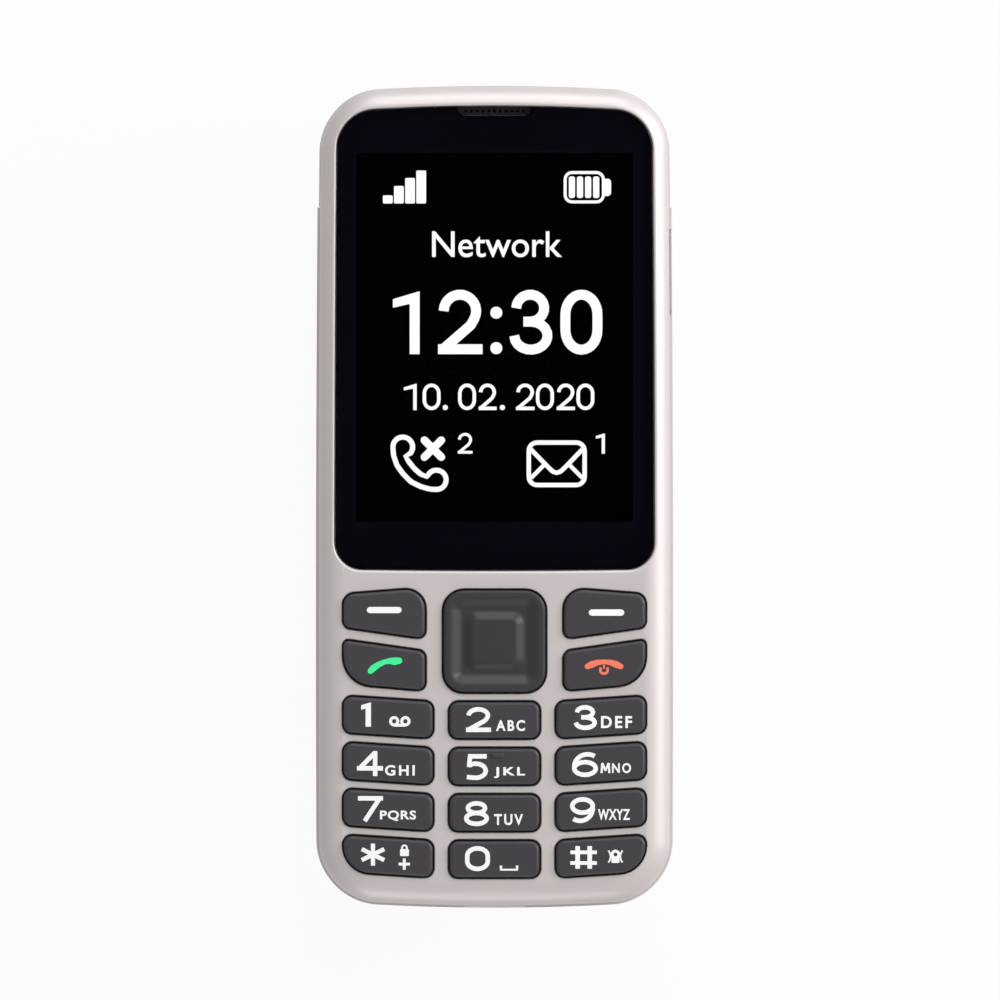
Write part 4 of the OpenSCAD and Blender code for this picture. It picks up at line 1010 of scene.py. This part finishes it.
def legendMarks(name, z):
    marks = []

    def draw(width, *points):
        marks.append(strokeMark(points, width, z))

    if name in softLines:
        points, width = softLines[name]
        marks.append(strokeMark(points, width, z, soft=True))
    if name in digits:
        line = letterStyle["oneLine" if name == "key_1" else "digitLine"]
        marks += digitMark(name[-1], digits[name], line, z)
    if name in letters:
        text, box = letters[name]
        spread = letterStyle["spread" if len(text) < 4 else "longSpread"]
        marks.append(wordMark(text, box, z, letterStyle["weight"], spread))
    if name == "end_key":
        x = 604
        draw(2.6, *arcPoints(x, 669.9, 3.7, 140, 400))
        draw(1.7, (x, 664.6), (x, 668.6))
    if name == "key_1":
        left, right = 394.2, 405.4
        marks += [ringMark(x, 721.2, 3.7, 2.9, z) for x in (left, right)]
        draw(2.8, (left, 725.2), (right, 725.2))
    if name == "key_6":
        x = 605.4
        for side in (-1, 1):  # its M
            draw(2.1, (x + side * 3.2, 762.9), (x + side * 3.9, 773))
            draw(2.0, (x + side * 3.1, 763), (x, 770.6))
    if name == "key_star":
        for turn in (90, 30, 150):
            along, up = 13 * math.cos(math.radians(turn)), 11 * math.sin(math.radians(turn))
            draw(4.2, (373 - along, 854.5 + up), (373 + along, 854.5 - up))
        marks.append(plateMark(400, 849, 409, 856, 1.2, z))  # a lock
        draw(1.8, (402, 850), *arcPoints(404.5, 847.6, 2.4, 180, 0, 8), (407, 850))
        draw(2.8, (398.6, 864), (410, 864))
        draw(2.8, (404.3, 858.4), (404.3, 869.6))
    if name == "key_0":
        draw(2.6, (501, 865.5), (501, 869.6), (517, 869.6), (517, 865.5))
    if name == "key_hash":
        for x in (577.6, 589.7):
            draw(4.6, (x, 846), (x, 868.6))
        for y in (852.2, 862.9):
            draw(3.6, (570.3, y), (596.8, y))
        bellX, waveY = 615.4, 856.4  # a bell between two waves
        marks.append(ringMark(bellX, 854.4, 3.4, 2.8, z))
        marks.append(plateMark(bellX - 4, 856.6, bellX + 4, 862.8, 0.8, z))
        for side in (-1, 1):
            draw(1.6, *((bellX + side * (4.8 + 0.062 * step ** 2), waveY + step) for step in range(-6, 8, 2)))
    return marks


def makeLegends():
    for name in keyForms:
        joined = joinAll(name + "_legend", legendMarks(name, level["keyTop"]))
        finishPiece(joined, legendFinish.get(name, whitePrint), name, kind="print")
    print("legends ready")


# Navigation key: a dished cap with a raised pad

nav = lengths(edgeWide=0.45, edgeHigh=0.4, rim=0.4, dishWide=2.2, dish=0.9, padFoot=5.0, padTop=3.1, padR=2.4,
              padDrop=0.1, padSink=0.05) | {"edgeSteps": 5, "cornerSteps": 12, "slopeSteps": 10}


def makeNavigation():
    key = raiseCap("navigation_cap", *navOutline(), level["navFoot"], level["navTop"], nav, nav["cornerSteps"])
    bpy.ops.mesh.inset(thickness=nav["rim"], depth=0)
    slopeIn(nav["dishWide"], -nav["dish"], nav["slopeSteps"])
    closeEdit()
    half, y = nav["padFoot"], keypad["navY"]
    foot = level["navTop"] - nav["dish"] - nav["padSink"]
    pad = addPlate("pad", boxCorners(-half, y - half, half, y + half), [nav["padR"]] * 4, foot,
                   segments=nav["cornerSteps"])
    openAll(pad)
    raiseFace(nav["padSink"])
    slopeIn(nav["padFoot"] - nav["padTop"], nav["dish"] - nav["padDrop"], nav["slopeSteps"])
    closeEdit()
    key = joinAll("navigation_cap", [key, pad])
    finishPiece(key, navRubber, "navigation_key", ["navigation_key"], "key")
    print("navigation key ready")


# Rear shells

volume = lengths(y=35.0, half=6.5, low=5.25, high=8.05, fit=0.3, deep=3.6, round=0.8, edge=0.3) | {
    "edgeSteps": 5}
speaker = lengths(y=-49.55, pitch=2.0, half=4.9, slotHalf=0.4, slotR=0.38) | {"count": 5}
rearCamera = lengths(x=-12.0, y=54.0, windowR=4.6, flashX=-3.0, flashR=1.8)
jack = lengths(x=14.0, z=5.7, r=2.6)
bezel = lengths(fit=0.12, thick=0.6, around=0.04, r=0.3) | {"holeRound": 0.49}
chassisGap = {"cut": 0.7 * seam, "merge": 0.0005 * mm}


def backShell(name, inset, top, foot):
    shell = bodyPlate(name, top, inset)
    wide, high = body["backRoll"]
    openAll(shell)
    raiseFace(foot + high - top)
    bpy.ops.mesh.select_all(action="SELECT")
    bpy.ops.mesh.normals_make_consistent(inside=False)
    closeEdit()
    openEdit(shell, "FACE", isFoot)
    rollIn(wide, high, body["rollSteps"])
    closeEdit()
    openEdit(shell, "FACE", lambda face: isTop(face) and face.center.z > top - seam / 2)
    bpy.ops.mesh.inset(thickness=body["wall"], depth=0)
    raiseFace(foot + high - top)
    rollIn(wide - body["wall"], high - body["wall"], body["innerSteps"])
    closeEdit()
    return shell


def makeCover():
    cover = backShell("back_cover", 0, level["coverTop"], 0)
    keepSide(cover, body["splitY"] - seam / 2, False)
    edge, top = body["width"] / 2, level["coverTop"] + spare
    cutAway(cover, boxTool(-usb["half"], body["foot"] - usb["deep"], usb["low"],
                           usb["half"], body["foot"] + usb["deep"], top))
    reach = volume["half"] + volume["fit"]
    cutAway(cover, boxTool(edge - volume["deep"], volume["y"] - reach, volume["low"] - volume["fit"],
                           edge + volume["deep"], volume["y"] + reach, top))
    for i in range(speaker["count"]):
        y = speaker["y"] + (i - (speaker["count"] - 1) / 2) * speaker["pitch"]
        cutAway(cover, boxTool(-speaker["half"], y - speaker["slotHalf"], -spare,
                               speaker["half"], y + speaker["slotHalf"], 2 * spare, speaker["slotR"]))
    finishPiece(cover, backPaint, "battery_cover", ["battery_cover"])
    print("cover ready")


def makeRear():
    rearCap = backShell("rear_shell", body["capInset"], level["capTop"], body["capInset"])
    keepSide(rearCap, body["splitY"] + seam / 2, True)
    cutAway(rearCap, addRod((jack["x"], body["top"], jack["z"]), jack["r"], 5 * spare, "Y"))
    cutAway(rearCap, addRod((rearCamera["x"], rearCamera["y"], 0), rearCamera["windowR"], 4 * spare))
    cutAway(rearCap, addRod((rearCamera["flashX"], rearCamera["y"], 0), rearCamera["flashR"], 4 * spare))
    chassis = frame["nodes"]["rear_housing"].copy()
    chassis.data = chassis.data.copy()
    bpy.context.scene.collection.objects.link(chassis)
    chassis.parent = None
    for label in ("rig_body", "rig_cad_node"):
        del chassis[label]
    openAll(chassis)
    bpy.ops.mesh.remove_doubles(threshold=chassisGap["merge"])
    closeEdit()
    keepSide(chassis, body["splitY"] + chassisGap["cut"], False)
    for part in (rearCap, chassis):
        setMaterial(part.data, backPaint)
    rear = joinAll("rear_shell", [rearCap, chassis])
    finishPiece(rear, backPaint, "phone", ["rear_housing"])
    print("rear housing ready")


def makeBezel():
    # Fills the corners round the charging socket; drawn flat, then stood up
    low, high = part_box("usb_socket")
    fit, thick, around = bezel["fit"], bezel["thick"], bezel["around"]
    outer = boxCorners(fit - usb["half"], usb["low"] + fit, usb["half"] - fit, usb["top"] - fit)
    plate = solidBlock("usb_bezel", outer, [bezel["r"]] * 4, 0, thick)
    inner = boxCorners(low.x - around, low.z - around, high.x + around, high.z + around)
    cutAway(plate, solidBlock("hole", inner, [bezel["holeRound"] * (high.z - low.z)] * 4, -spare, 2 * spare))
    for point in plate.data.vertices:
        point.co = (point.co.x, low.y + fit + thick - point.co.z, point.co.y)
    finishPiece(plate, backPaint, "phone")


def makeVolumeKey():
    # Drawn flat, then stood on its side against the wall
    low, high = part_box("volume_key")
    y, half = volume["y"], volume["half"]
    tall = volume["high"] - volume["low"]
    corners = boxCorners(-tall / 2, y - half, tall / 2, y + half)
    key = addPlate("volume_rocker", corners, [volume["round"]] * 4, 0)
    edge = volume["edge"]
    raisePlate(key, high.x - low.x - edge, edge, edge, volume["edgeSteps"])
    middle = (volume["low"] + volume["high"]) / 2
    for point in key.data.vertices:
        point.co = (low.x + point.co.z, point.co.y, middle - point.co.x)
    finishPiece(key, volumePlastic, "volume_key", ["volume_key"], "key")
    print("volume key ready")


# Finishes of the pieces that stay as they are

def innerFinish(nodes, *look, **grain):
    material = grainMaterial(*look, **grain)
    for name in nodes.split():
        setMaterial(frame["nodes"][name].data, material)


def dressNodes():
    innerFinish("usb_socket shield_cans display_tray key_domes case_screws sim_sockets memory_card_socket"
                " vibration_motor", "brightSteel", (0.62, 0.62, 0.63), 0.28, scale=3000.0, depth=0.10,
                drift=0.05, bump=0.06, bumpDepth=0.01, metallic=1.0)
    innerFinish("battery_contacts antenna", "goldPlate", (0.78, 0.57, 0.22), 0.25, scale=3000.0, depth=0.08,
                drift=0.05, bump=0.05, bumpDepth=0.01, metallic=1.0)
    innerFinish("headset_jack loudspeaker rear_camera lens_adhesive display_gasket", "blackMoulding",
                (0.018, 0.018, 0.020), 0.45, scale=3500.0, depth=0.2, bump=0.15)
    innerFinish("earpiece_mesh earpiece_speaker", "darkMesh", (0.010, 0.007, 0.009), 0.6, scale=9000.0,
                depth=0.9, bump=0.5, bumpDepth=0.05, specular=0.12)
    innerFinish("display_panel", "panelBlack", (0.0003, 0.0003, 0.0004), 0.6, scale=7000.0, depth=0.3,
                bump=0.0, bumpDepth=0.0, specular=0.0)
    innerFinish("main_board", "solderMask", (0.016, 0.10, 0.045), 0.35, scale=900.0, depth=0.5, drift=0.2,
                bump=0.1)
    innerFinish("display_flex", "amberFilm", (0.45, 0.17, 0.03), 0.35, scale=1500.0, depth=0.2, bump=0.05,
                bumpDepth=0.01)
    innerFinish("dome_film keypad_leds flash_led flash_lens", "paleFilm", (0.72, 0.71, 0.66), 0.4,
                scale=2500.0, depth=0.08, drift=0.05, bump=0.05, bumpDepth=0.01)
    innerFinish("keypad_mat navigation_rocker select_plunger volume_switches microphone", "greySilicone",
                (0.15, 0.145, 0.155), 0.6, scale=3000.0, depth=0.15, bump=0.15)
    innerFinish("battery", "batteryWrap", (0.03, 0.031, 0.036), 0.35, scale=1800.0, depth=0.15, bump=0.08)
    innerFinish("camera_window", "cameraGlass", (0.006, 0.006, 0.009), 0.05, scale=2000.0, depth=0.3,
                bump=0.0, bumpDepth=0.0, roughSpread=0.03)
    print("inner pieces dressed")


makeStudio(studio)
makeFrontHousing()
makeLens()
makeScreen()
for keyName in keyForms:
    makeKey(keyName)
print("keys ready")
makeLegends()
makeNavigation()
makeCover()
makeRear()
makeBezel()
makeVolumeKey()
dressNodes()
